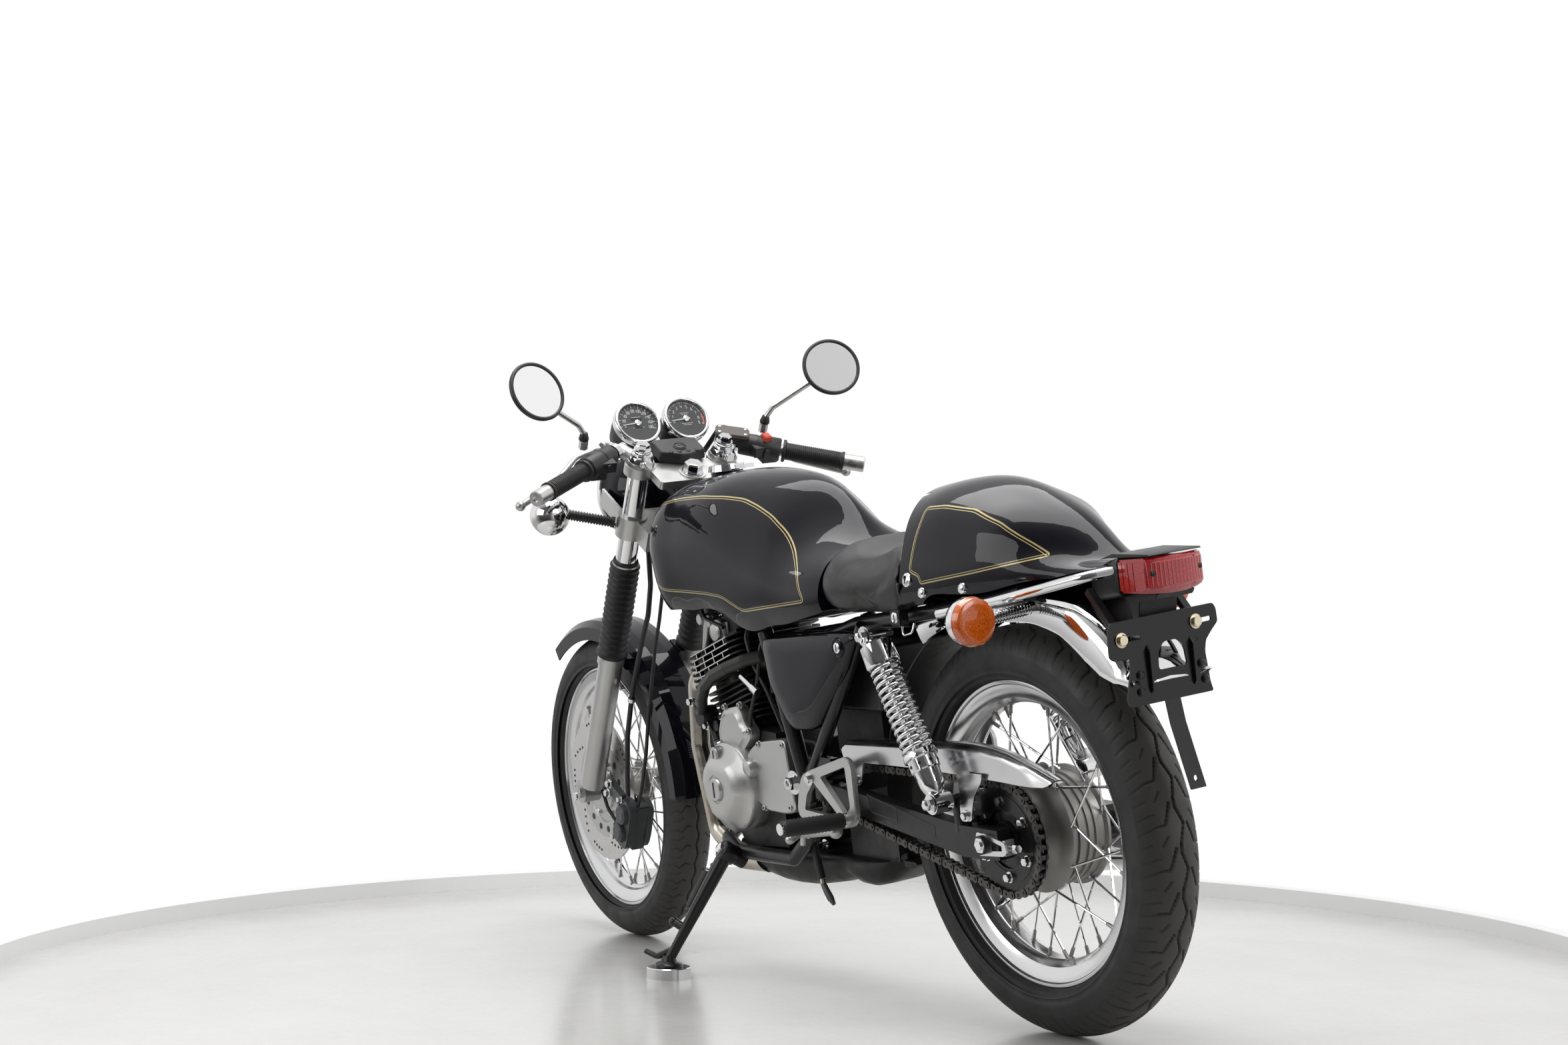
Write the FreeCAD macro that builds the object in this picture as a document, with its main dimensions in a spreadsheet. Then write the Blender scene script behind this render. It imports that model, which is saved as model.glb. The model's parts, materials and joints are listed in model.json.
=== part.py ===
import FreeCAD
import Part
import math
import os

# A single-cylinder cafe racer motorcycle, parked on its side stand.
# Every piece is drawn on the upright machine: X forward, Y to its left, Z up, the floor under
# the rear axle as the zero point. Pieces of the fork are drawn in the fork's own frame, whose Z is
# the steering axis. One placement then leans the whole machine on to its stand.

DOC = FreeCAD.newDocument("cafe_racer")
SHEET = DOC.addObject("Spreadsheet::Sheet", "Sizes")

# alias, value, meaning
SIZES = [
    ("wheelbase", 1405, "axle to axle"),
    ("rake", 30, "degrees, steering axis from the vertical"),
    ("trail", 109, "floor under the front axle to the steering axis"),
    ("lean", 8.25, "degrees to the left on the side stand"),
    ("steer", -3.3, "degrees, bars turned slightly to the right"),
    ("rear_tyre_radius", 327, "110/90-18"),
    ("rear_tyre_half", 56, "half width and crown radius"),
    ("front_tyre_radius", 309, "90/90-18"),
    ("front_tyre_half", 46, "half width and crown radius"),
    ("rim_radius", 242, "edge of the rim flange"),
    ("bead_radius", 232, "seat of the tyre bead"),
    ("well_radius", 220, "bottom of the rim's well"),
    ("rear_rim_half", 38, "half width over the flanges"),
    ("front_rim_half", 31, "half width over the flanges"),
    ("spoke_radius", 1.9, "wire spokes"),
    ("spokes_per_side", 18, "two crossing sets of nine"),
    ("axle_radius", 8.5, "both axles"),
    ("axle_clearance", 0.1, "radial, hub on axle"),
    ("leg_half", 87, "centre of the bike to a fork leg"),
    ("leg_lead", 48, "fork legs ahead of the steering axis"),
    ("axle_lead", 60, "front axle ahead of the steering axis"),
    ("axle_level", 322.8, "front axle along the steering axis"),
    ("stanchion_radius", 20.5, "41 mm fork tubes"),
    ("slider_radius", 24, "lower fork legs"),
    ("gaiter_radius", 29, "outside of the rubber ribs"),
    ("top_clamp_level", 1060, "underside of the top clamp"),
    ("bar_level", 1085, "handlebar axis along the steering axis"),
    ("bar_reach", 94.7, "root of a bar ahead of the steering axis"),
    ("bar_root", 110, "root of a bar from the centre plane"),
    ("bar_end", 347, "end of a bar from the centre plane"),
    ("bar_sweep", 0.627, "how far a bar runs back for each mm outwards"),
    ("crank_x", 758, "crankshaft ahead of the rear axle"),
    ("crank_z", 368, "crankshaft above the floor"),
    ("cylinder_lean", 16, "degrees forward"),
    ("fin_pitch", 11, "fin to fin"),
    ("fin_thickness", 3, "one fin"),
    ("arm_half", 109, "centre of a swingarm leg"),
    ("chain_line", 79, "chain from the centre plane"),
    ("sprocket_radius", 90, "rear sprocket over its teeth"),
    ("pinion_x", 575, "front sprocket ahead of the rear axle"),
    ("pinion_z", 393, "front sprocket above the floor"),
    ("shock_half", 150, "centre of a shock absorber"),
]

for row, (alias, value, meaning) in enumerate(SIZES, start=1):
    SHEET.set(f"A{row}", alias)
    SHEET.set(f"B{row}", str(value))
    SHEET.set(f"C{row}", meaning)
    SHEET.setAlias(f"B{row}", alias)
DOC.recompute()


def size(alias):
    return float(SHEET.get(alias))


def vec(x, y, z):
    return FreeCAD.Vector(x, y, z)


# ---------------------------------------------------------------- placements

LEAN = math.radians(size("lean"))
RAKE = size("rake")
TRACK = size("wheelbase") + size("trail")


def lift():
    """How far the leaning machine rises so that its round tyre still meets the floor."""
    crown = size("rear_tyre_half")
    hub = size("rear_tyre_radius") - crown
    return hub * math.cos(LEAN) + crown - size("rear_tyre_radius") * math.cos(LEAN)


PARKED = FreeCAD.Placement(vec(0, 0, lift()), FreeCAD.Rotation(vec(1, 0, 0), -size("lean")))
FORK_FRAME = FreeCAD.Placement(vec(TRACK, 0, 0), FreeCAD.Rotation(vec(0, 1, 0), -RAKE))
STEERED = FreeCAD.Placement(vec(0, 0, 0), FreeCAD.Rotation(vec(0, 0, 1), size("steer")))
FORK = PARKED.multiply(FORK_FRAME).multiply(STEERED)

NODES = {}
DRAWN = {}


def finish(label, obj, place):
    obj.Label = label
    obj.Placement = place
    NODES[label] = obj


def bind(obj, prop, value):
    """A string is an expression on the sheet, a number is set as it is."""
    if isinstance(value, str):
        obj.setExpression(prop, value)
    else:
        setattr(obj, prop, value)


def primitive(kind, name, at, axis=(0, 0, 1), **sizes):
    obj = DOC.addObject("Part::" + kind, name)
    for prop, value in sizes.items():
        bind(obj, prop, value)
    numbers = [0 if isinstance(c, str) else c for c in at]
    turn = FreeCAD.Rotation(vec(0, 0, 1), vec(*axis))
    obj.Placement = FreeCAD.Placement(vec(*numbers), turn)
    for letter, value in zip("xyz", at):
        if isinstance(value, str):
            obj.setExpression("Placement.Base." + letter, value)
    return obj


def joined(members):
    obj = DOC.addObject("Part::MultiFuse", "Joined")
    obj.Shapes = members
    return obj


def shaped(label, shape, place=PARKED):
    """A piece made in code, kept until its neighbours exist."""
    DRAWN[label] = (shape, place)


def shaped_pair(label, make, place=PARKED):
    """One piece for each side of the machine; make(1) is the left one, make(-1) the right."""
    shaped(label, Part.makeCompound([make(1), make(-1)]), place)


# each piece on the left is cut back to the faces of the pieces that it meets
MEETS = {
    "sprocket_cover": ["alternator_cover", "crankcase"],
    "clutch_cover": ["crankcase"],
    "alternator_cover": ["crankcase"],
    "cylinder_barrel": ["crankcase"],
    "intake": ["cylinder_barrel", "cylinder_head"],
    "exhaust_pipes": ["cylinder_head", "exhaust_collector"],
    "silencer": ["exhaust_collector"],
    "frame_cradle": ["frame_side_tubes", "frame_spine", "crankcase"],
    "seat_rails": ["frame_side_tubes", "rear_fender"],
    "footrests": ["frame_side_tubes"],
    "grab_rail": ["seat_rails", "tail_light", "tail_cowl"],
    "tail_light": ["rear_fender", "tail_cowl"],
    "tail_cowl": ["seat_rails"],
    "plate_bracket": ["rear_fender", "tail_light"],
    "rear_indicators": ["rear_fender"],
    "seat": ["seat_rails", "tail_cowl"],
    "chain_guard": ["swingarm"],
    "brake_reservoir": ["switchgear", "clip_on_bars", "hand_levers", "mirrors"],
    "hand_levers": ["switchgear", "clip_on_bars"],
    "mirrors": ["switchgear", "clip_on_bars"],
    "clip_on_bars": ["top_clamp"],
    "ignition_lock": ["clocks", "top_clamp"],
    "headlight": ["lower_clamp"],
    "front_indicators": ["lower_clamp", "headlight"],
    "front_fender": ["fork_sliders"],
    "front_caliper": ["fork_sliders"],
    "brake_hose": ["front_caliper", "brake_reservoir"],
    "switchgear": ["clip_on_bars"],
    "grips": ["switchgear"],
}


def settle():
    """Cuts each piece back where it meets others and puts it in the document."""
    for label, (shape, place) in DRAWN.items():
        for other in MEETS.get(label, []):
            shape = shape.cut(DRAWN[other][0])
        obj = DOC.addObject("Part::Feature", "Piece_" + label)
        obj.Shape = shape if shape.Placement.isIdentity() else Part.makeCompound([shape])
        finish(label, obj, place)
    DOC.recompute()
    whole = Part.makeCompound([obj.Shape for obj in NODES.values()]).optimalBoundingBox(True, False)
    to_origin = FreeCAD.Placement(vec(-whole.Center.x, -whole.Center.y, -whole.ZMin), FreeCAD.Rotation())
    for obj in NODES.values():
        obj.Placement = to_origin.multiply(obj.Placement)
    return to_origin


# ---------------------------------------------------------------- shape helpers

def rod(start, end, radius, radius_end=None):
    a = vec(*start)
    b = vec(*end)
    along = b.sub(a)
    if radius_end is None:
        return Part.makeCylinder(radius, along.Length, a, along)
    return Part.makeCone(radius, radius_end, along.Length, a, along)


def rounded_path(points, bend):
    """Straight runs joined by tangent arcs of radius bend."""
    pts = [vec(*p) for p in points]
    edges = []
    here = pts[0]
    for before, corner, after in zip(pts, pts[1:], pts[2:]):
        back = before.sub(corner).normalize()
        ahead = after.sub(corner).normalize()
        half = back.getAngle(ahead) / 2
        reach = bend / math.tan(half)
        first = corner.add(back.multiply(reach))
        last = corner.add(ahead.multiply(reach))
        inward = first.add(last).multiply(0.5).sub(corner).normalize()
        middle = corner.add(inward.multiply(bend / math.sin(half) - bend))
        edges.append(Part.LineSegment(here, first).toShape())
        edges.append(Part.Arc(first, middle, last).toShape())
        here = last
    edges.append(Part.LineSegment(here, pts[-1]).toShape())
    return Part.Wire(edges)


def tube(points, radius, bend=40):
    if len(points) == 2:
        return rod(points[0], points[1], radius)
    path = rounded_path(points, bend)
    start = vec(*points[0])
    heading = vec(*points[1]).sub(start)
    ring = Part.Wire([Part.makeCircle(radius, start, heading)])
    return path.makePipeShell([ring], True, True)


def outline(points, y):
    """A closed outline in the XZ plane; a point of four numbers ends an arc through the last two."""
    edges = []
    here = vec(points[0][0], y, points[0][1])
    for point in points[1:] + points[:1]:
        if len(point) == 4:
            end = vec(point[0], y, point[1])
            edges.append(Part.Arc(here, vec(point[2], y, point[3]), end).toShape())
        else:
            end = vec(point[0], y, point[1])
            edges.append(Part.LineSegment(here, end).toShape())
        here = end
    return Part.Wire(edges)


def plate(points, y_low, y_high):
    face = Part.Face(outline(points, y_low))
    return face.extrude(vec(0, y_high - y_low, 0))


def softened(shape, radius, keep=lambda edge: True):
    return shape.makeFillet(radius, [e for e in shape.Edges if keep(e)])


def fused(shapes):
    whole = shapes[0].multiFuse(shapes[1:]) if len(shapes) > 1 else shapes[0]
    return whole.removeSplitter()


def mirrored(shape):
    return shape.mirror(vec(0, 0, 0), vec(0, 1, 0))


def turned(profile, centre, axis=(0, 1, 0), angle=360):
    """Revolves a closed profile of (across, out) pairs about a line through centre along Y."""
    pts = [vec(centre[0], centre[1] + across, centre[2] + out) for across, out in profile]
    face = Part.Face(Part.makePolygon(pts + pts[:1]))
    return face.revolve(vec(*centre), vec(*axis), angle)


def hoop(x, side):
    """A closed section at x: side is the left half, from the bottom edge up to the centre of the top."""
    left = [vec(x, y, z) for y, z in side]
    right = [vec(x, -y, z) for y, z in reversed(side[:-1])]
    over = Part.BSplineCurve()
    over.interpolate(left + right)
    return Part.Wire([over.toShape(), Part.LineSegment(right[-1], left[0]).toShape()])


def skinned(rows):
    return Part.makeLoft([hoop(*row) for row in rows], True, False)


def polar(centre, radius, degrees, y):
    a = math.radians(degrees)
    return (centre[0] + radius * math.cos(a), y, centre[1] + radius * math.sin(a))


# ---------------------------------------------------------------- wheels

def tyre(label, place, centre, radius, half):
    bead = size("bead_radius")
    flange = size("rim_radius")
    rim_half = half - 19
    hub = radius - half
    y0, z0 = centre[1], centre[2]

    def at(across, out):
        return vec(centre[0], y0 + across, z0 + out)

    side = (at(rim_half, bead), at(rim_half, flange + 3), at(half - 5, flange + 14), at(half, hub))
    twin = (at(-rim_half, bead), at(-rim_half, flange + 3), at(5 - half, flange + 14), at(-half, hub))
    edges = [
        Part.LineSegment(side[0], side[1]).toShape(),
        Part.LineSegment(side[1], side[2]).toShape(),
        Part.LineSegment(side[2], side[3]).toShape(),
        Part.Arc(side[3], at(0, radius), twin[3]).toShape(),
        Part.LineSegment(twin[3], twin[2]).toShape(),
        Part.LineSegment(twin[2], twin[1]).toShape(),
        Part.LineSegment(twin[1], twin[0]).toShape(),
        Part.LineSegment(twin[0], side[0]).toShape(),
    ]
    ring = Part.Face(Part.Wire(edges)).revolve(vec(*centre), vec(0, 1, 0), 360)
    return shaped(label, ring, place)


def rim(centre, half, seat_half):
    flange, bead, well = size("rim_radius"), size("bead_radius"), size("well_radius")
    near = [(half, flange), (seat_half, flange), (seat_half, bead), (seat_half - 9, bead), (10, well)]
    inner = [(12, well - 6), (half - 8, well + 3), (half, bead - 4)]
    far = [(-across, out) for across, out in reversed(near)]
    inner_far = [(-across, out) for across, out in inner]
    return turned(near + far + list(reversed(inner_far)) + inner, centre)


def spokes(centre, flange_offsets, flange_radius, rim_offset):
    """Crossing wire spokes: two sets on each hub flange, laced opposite ways."""
    wires = []
    per_side = int(size("spokes_per_side"))
    reach = size("well_radius") - 3
    for side in (1, -1):
        for number in range(per_side):
            lace = 1 if number % 2 else -1
            hub_angle = number * 360 / per_side + (10 if side < 0 else 0)
            rim_angle = hub_angle + lace * 48
            hub_y = centre[1] + flange_offsets[0 if side > 0 else 1] + lace * 4
            start = polar((centre[0], centre[2]), flange_radius, hub_angle, hub_y)
            end = polar((centre[0], centre[2]), reach, rim_angle, centre[1] + side * rim_offset)
            wires.append(rod(start, end, size("spoke_radius")))
    return wires


def wheels():
    bore = size("axle_radius") + size("axle_clearance")
    rear = (0, 0, size("rear_tyre_radius"))
    tyre("rear_tyre", PARKED, rear, size("rear_tyre_radius"), size("rear_tyre_half"))
    drum = [(-62, bore), (-62, 84), (-20, 88), (14, 88), (20, 60), (44, 60), (50, 66), (58, 66),
            (62, 40), (62, bore)]
    hub = turned(drum, rear)
    seat = size("rear_tyre_half") - 19
    body = fused([rim(rear, size("rear_rim_half"), seat), hub] + spokes(rear, (48, -16), 62, 8))
    shaped("rear_wheel", body)

    front = (size("axle_lead"), 0, size("axle_level"))
    tyre("front_tyre", FORK, front, size("front_tyre_radius"), size("front_tyre_half"))
    barrel = [(-52, bore), (-52, 26), (-40, 44), (-34, 44), (-30, 28), (30, 28), (34, 44), (40, 44),
              (46, 44), (50, 44), (50, bore)]
    hub = turned(barrel, front)
    seat = size("front_tyre_half") - 19
    body = fused([rim(front, size("front_rim_half"), seat), hub] + spokes(front, (37, -37), 38, 6))
    shaped("front_wheel", body, FORK)


def brake_disc():
    """Drilled ring on a five-armed carrier."""
    x, z = size("axle_lead"), size("axle_level")
    ring = Part.makeCylinder(146, 5, vec(x, 54, z), vec(0, 1, 0))
    ring = ring.cut(Part.makeCylinder(104, 5, vec(x, 54, z), vec(0, 1, 0)))
    arms = [Part.makeCylinder(48, 6, vec(x, 50, z), vec(0, 1, 0))]
    for number in range(5):
        arm = Part.makeBox(76, 6, 22, vec(36, 50, -11))
        arm.rotate(vec(0, 0, 0), vec(0, 1, 0), number * 72)
        arm.translate(vec(x, 0, z))
        arms.append(arm)
    carrier = fused(arms)
    bore = Part.makeCylinder(size("axle_radius") + size("axle_clearance"), 20, vec(x, 45, z), vec(0, 1, 0))
    shaped("front_brake_disc", fused([ring, carrier]).cut(bore), FORK)


# ---------------------------------------------------------------- fork and steering

def stanchions():
    legs = []
    for side in (1, -1):
        legs.append(primitive("Cylinder", "Stanchion", ("Sizes.leg_lead", f"{side} * Sizes.leg_half", 630),
                              Radius="Sizes.stanchion_radius", Height=470))
    finish("fork_stanchions", joined(legs), FORK)


def sliders():
    shapes = []
    lead, half = size("leg_lead"), size("leg_half")
    for side in (1, -1):
        leg = rod((lead, side * half, 345), (lead, side * half, 655), size("slider_radius"))
        collar = rod((lead, side * half, 636), (lead, side * half, 658), size("slider_radius") + 3)
        taper = rod((lead, side * half, 345), (lead + 4, side * half, 305), size("slider_radius"), 19)
        foot = rod((size("axle_lead"), side * half - 18, size("axle_level")),
                   (size("axle_lead"), side * half + 18, size("axle_level")), 23)
        bore = rod((lead, side * half, 629), (lead, side * half, 660), size("stanchion_radius"))
        shapes.append(fused([leg, collar, taper, foot]).cut(bore))
    x, z = size("axle_lead"), size("axle_level")
    axle = rod((x, -half - 22, z), (x, half + 22, z), size("axle_radius"))
    nuts = [rod((x, side * (half + 17), z), (x, side * (half + 25), z), 13) for side in (1, -1)]
    shaped("fork_sliders", fused(shapes + [axle] + nuts), FORK)


def gaiters():
    shapes = []
    lead, half, outer = size("leg_lead"), size("leg_half"), size("gaiter_radius")
    low, high, ribs = 658, 866, 15
    pitch = (high - low - 16) / ribs
    profile = [(size("stanchion_radius"), low), (outer, low)]
    for number in range(ribs):
        level = low + 8 + number * pitch
        profile += [(outer, level + 0.3 * pitch), (outer - 5, level + 0.5 * pitch),
                    (outer - 5, level + 0.8 * pitch), (outer, level + pitch)]
    profile += [(outer - 3, high), (size("stanchion_radius"), high)]
    for side in (1, -1):
        pts = [vec(lead + out, side * half, level) for out, level in profile]
        face = Part.Face(Part.makePolygon(pts + pts[:1]))
        shapes.append(face.revolve(vec(lead, side * half, 0), vec(0, 0, 1), 360))
    shaped("fork_gaiters", Part.makeCompound(shapes), FORK)


def clamps():
    lead, half, grip = size("leg_lead"), size("leg_half"), size("stanchion_radius")
    level = size("top_clamp_level")
    web = Part.makeBox(lead + 26, 2 * half - 20, 16, vec(-26, 10 - half, level))
    web = web.makeFillet(7, [e for e in web.Edges if abs(e.Length - 16) < 0.1])
    rings = [rod((lead, s * half, level - 2), (lead, s * half, level + 18), grip + 9) for s in (1, -1)]
    boss = rod((0, 0, level - 4), (0, 0, level + 18), 26)
    holes = [rod((lead, s * half, level - 5), (lead, s * half, level + 30), grip) for s in (1, -1)]
    holes.append(rod((0, 0, level - 5), (0, 0, level + 30), 12))
    top = fused([web, boss] + rings).cut(holes[0]).cut(holes[1]).cut(holes[2])
    shaped("top_clamp", top, FORK)

    low = 925
    web = Part.makeBox(lead + 44, 2 * half, 40, vec(-22, -half, low))
    rings = [rod((lead, s * half, low), (lead, s * half, low + 44), grip + 8) for s in (1, -1)]
    stem = rod((0, 0, low), (0, 0, level + 26), 12)
    arms = []
    for s in (1, -1):
        arm = Part.makeBox(96, 5, 36, vec(lead + 20, s * (half + 8) - 2.5, low + 2))
        arms.append(arm)
    body = fused([web, stem] + rings + arms)
    for s in (1, -1):
        body = body.cut(rod((lead, s * half, low - 5), (lead, s * half, low + 60), grip))
    shaped("lower_clamp", body, FORK)


def fork_caps():
    """Stepped hexagon caps on the fork legs and the large nut on the steering stem."""
    level = size("top_clamp_level") + 18
    shapes = []
    for side in (1, -1):
        x, y = size("leg_lead"), side * size("leg_half")
        shapes.append(fused([rod((x, y, 1100), (x, y, 1116), 22), rod((x, y, 1116), (x, y, 1122), 17),
                             hexagon((x, y, 1122), 14, 11)]))
    shapes.append(fused([rod((0, 0, level + 8), (0, 0, level + 11), 22), hexagon((0, 0, level + 11), 17, 14)])
                  .cut(rod((0, 0, level), (0, 0, level + 8.0), 12)))
    shaped("fork_caps", Part.makeCompound(shapes), FORK)


def hexagon(at, across, height):
    pts = [vec(at[0] + across * math.cos(math.radians(a)), at[1] + across * math.sin(math.radians(a)), at[2])
           for a in range(0, 361, 60)]
    return Part.Face(Part.makePolygon(pts)).extrude(vec(0, 0, height))


def bar_point(side, across, ahead=0.0, above=0.0):
    """A point on a handlebar, across mm from the centre plane."""
    lead = size("bar_reach") - size("bar_sweep") * (across - size("bar_root"))
    return (lead + ahead, side * across, size("bar_level") + above)


def bar_core(side, start=100):
    return rod(bar_point(side, start), bar_point(side, size("bar_end")), 11)


def grip(side):
    sleeve = rod(bar_point(side, 214), bar_point(side, 318), 16.5)
    flange = rod(bar_point(side, 210), bar_point(side, 215), 24)
    rim_end = rod(bar_point(side, 315), bar_point(side, 320), 19)
    return fused([sleeve, flange, rim_end]).cut(bar_core(side))


def bar_weight(side):
    weight = rod(bar_point(side, 320), bar_point(side, size("bar_end")), 14.5)
    return weight.cut(rod(bar_point(side, 300), bar_point(side, 325), 11))


def switchgear(side):
    drum = rod(bar_point(side, 160), bar_point(side, 206), 25)
    perch = rod(bar_point(side, 132), bar_point(side, 158), 18)
    return fused([drum, perch]).cut(bar_core(side))


def hand_lever(side):
    pivot = bar_point(side, 140, 44, -4)
    knee = bar_point(side, 200, 58, -14)
    ball = (4, side * 346, 1040)
    root = rod(bar_point(side, 145, 14), pivot, 10)
    blade = [rod(pivot, knee, 7), Part.makeSphere(7, vec(*knee)), rod(knee, ball, 6.5, 5),
             Part.makeSphere(9, vec(*ball))]
    return fused([root] + blade).cut(bar_core(side))


def handlebars():
    lead, half, level = size("leg_lead"), size("leg_half"), size("top_clamp_level") + 18
    ring = rod((lead, half, level), (lead, half, 1100), 30)
    arm = rod((lead, half, size("bar_level") + 2), bar_point(1, size("bar_root") - 4), 13)
    bar = rod(bar_point(1, size("bar_root") - 14), bar_point(1, size("bar_end") - 22), 11)
    hole = rod((lead, half, level - 5), (lead, half, 1105), size("stanchion_radius"))
    clip_on = fused([ring, arm, bar]).cut(hole)
    shaped("clip_on_bars", Part.makeCompound([clip_on, mirrored(clip_on)]), FORK)
    shaped_pair("grips", grip, FORK)
    shaped_pair("bar_weights", bar_weight, FORK)
    shaped_pair("switchgear", switchgear, FORK)
    shaped_pair("hand_levers", hand_lever, FORK)


def brake_reservoir():
    box = softened(Part.makeBox(36, 64, 22, vec(5, -64, 1089)), 4)
    box.rotate(vec(0, 0, 0), vec(0, 0, 1), -27)
    box.translate(vec(84, -120, 0))
    arm = rod(bar_point(-1, 150, 0, 0), (92, -156, 1092), 12)
    shaped("brake_reservoir", fused([box, arm]), FORK)


def mirror(side):
    base = (86, side * 192, 1103)
    foot = (62, side * 178, 1092)
    elbow = (88, side * 206, 1150)
    head = (68.5, side * 300, 1236)
    stalk = [rod(foot, base, 9), rod(base, elbow, 8, 6), rod(elbow, head, 5.5),
             Part.makeSphere(6, vec(*elbow))]
    facing = vec(-0.62, -side * 0.20, 0.72)
    facing.normalize()
    centre = vec(68.5, side * 310, 1238.7)
    back = centre.sub(vec(facing.x, facing.y, facing.z).multiply(15))
    shell = Part.makeCone(34, 57, 11, back, facing)
    rim_ring = Part.makeCylinder(57.5, 6, centre.sub(vec(facing.x, facing.y, facing.z).multiply(4)), facing)
    return fused(stalk + [shell, rim_ring])


def clocks():
    shapes = []
    facing = vec(-0.530, 0, 0.848)
    for side in (1, -1):
        centre = vec(145.5, side * 52, 1110)
        back = centre.sub(vec(facing.x, 0, facing.z).multiply(62))
        shapes.append(Part.makeCone(33, 40, 56, back, facing))
        shapes.append(Part.makeCylinder(43.5, 12, centre.sub(vec(facing.x, 0, facing.z).multiply(8)), facing))
    carrier = Part.makeBox(96, 110, 6, vec(58, -55, 1052))
    shaped("clocks", fused(shapes + [carrier]), FORK)
    cover = Part.makeBox(66, 92, 20, vec(30, -46, 1079))
    barrel = rod((66, 0, 1040), (66, 0, 1104), 17)
    shaped("ignition_lock", fused([softened(cover, 5), barrel]), FORK)


def headlight():
    centre = (176, 0, 940)
    ahead = vec(0.866, 0, -0.5)
    start = vec(*centre).sub(vec(ahead.x, 0, ahead.z).multiply(60))
    bowl = Part.makeCone(46, 86, 70, start, ahead)
    ring_at = vec(*centre).add(vec(ahead.x, 0, ahead.z).multiply(10))
    ring = Part.makeCylinder(92, 22, ring_at, ahead)
    glass_at = ring_at.add(vec(ahead.x, 0, ahead.z).multiply(22))
    glass = Part.makeCone(86, 60, 10, glass_at, ahead)
    mount = rod((150, -96, 945), (150, 96, 945), 8)
    shaped("headlight", fused([bowl, ring, glass, mount]), FORK)


def front_indicators():
    shapes = []
    for side in (1, -1):
        stalk = rod((110, side * 96, 950), (109, side * 205, 949), 10)
        back = vec(109, side * 230, 949)
        ahead = vec(0.866, 0, -0.5)
        shell = Part.makeSphere(38, back)
        lens = Part.makeCylinder(38, 22, back, ahead)
        shapes.append(fused([stalk, shell.common(half_space(back, ahead)), lens]))
    shaped("front_indicators", Part.makeCompound(shapes), FORK)


def half_space(point, ahead):
    """A block behind a point, used to keep the back half of a round lamp."""
    block = Part.makeBox(120, 120, 60)
    block.translate(vec(-60, -60, -60))
    turn = FreeCAD.Rotation(vec(0, 0, 1), ahead)
    block.Placement = FreeCAD.Placement(point, turn).multiply(block.Placement)
    return block


def front_fender():
    axle = (size("axle_lead"), 0, size("axle_level"))
    outer = 343
    section = [(-54, outer - 42), (-54, outer - 16), (-40, outer - 3), (-18, outer), (18, outer),
               (40, outer - 3), (54, outer - 16), (54, outer - 42), (51, outer - 42), (51, outer - 18),
               (38, outer - 6), (17, outer - 3), (-17, outer - 3), (-38, outer - 6), (-51, outer - 18),
               (-51, outer - 42)]
    shell = turned(section, axle, angle=122)
    shell.rotate(vec(*axle), vec(0, 1, 0), -60)
    feet = []
    for side in (1, -1):
        feet.append(Part.makeBox(46, 12, 26, vec(26, side * 57.5 - 6, 628)))
    shaped("front_fender", fused([shell] + feet), FORK)


def front_caliper():
    disc_room = Part.makeCylinder(152, 17, vec(size("axle_lead"), 48, size("axle_level")), vec(0, 1, 0))
    body = Part.makeBox(56, 44, 92, vec(-120, 42, 300)).cut(disc_room)
    caps = [rod((-92, 86, z), (-92, 94, z), 17) for z in (325, 365)]
    arm = Part.makeBox(60, 12, 30, vec(-80, 76, 380))
    shaped("front_caliper", fused([body, arm] + caps), FORK)


def brake_hose():
    route = [(118, -134, 1096), (136, -126, 1092), (132, -100, 1050), (102, -50, 1010), (102, 10, 950),
             (76, 30, 890), (-20, 64, 850), (-46, 74, 800), (-40, 76, 720), (-34, 76, 620), (-42, 76, 520),
             (-66, 76, 440)]
    shaped("brake_hose", tube(route, 5, 12), FORK)


# ---------------------------------------------------------------- frame

STAND_FOLDED = (-0.93, 0.28, -0.24)
LID_HINGE = (882, 0, 935)
STAND_PIVOT = (791, 120, 240)
STAND_FOOT = (854, 245.6, 55.2)
PUCK_HEIGHT = 20
SPINE = [(860, 0, 800), (560, 0, 752), (420, 0, 690)]


def fork_to_bike(u, w):
    a = math.radians(RAKE)
    return (TRACK + u * math.cos(a) - w * math.sin(a), u * math.sin(a) + w * math.cos(a))


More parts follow.
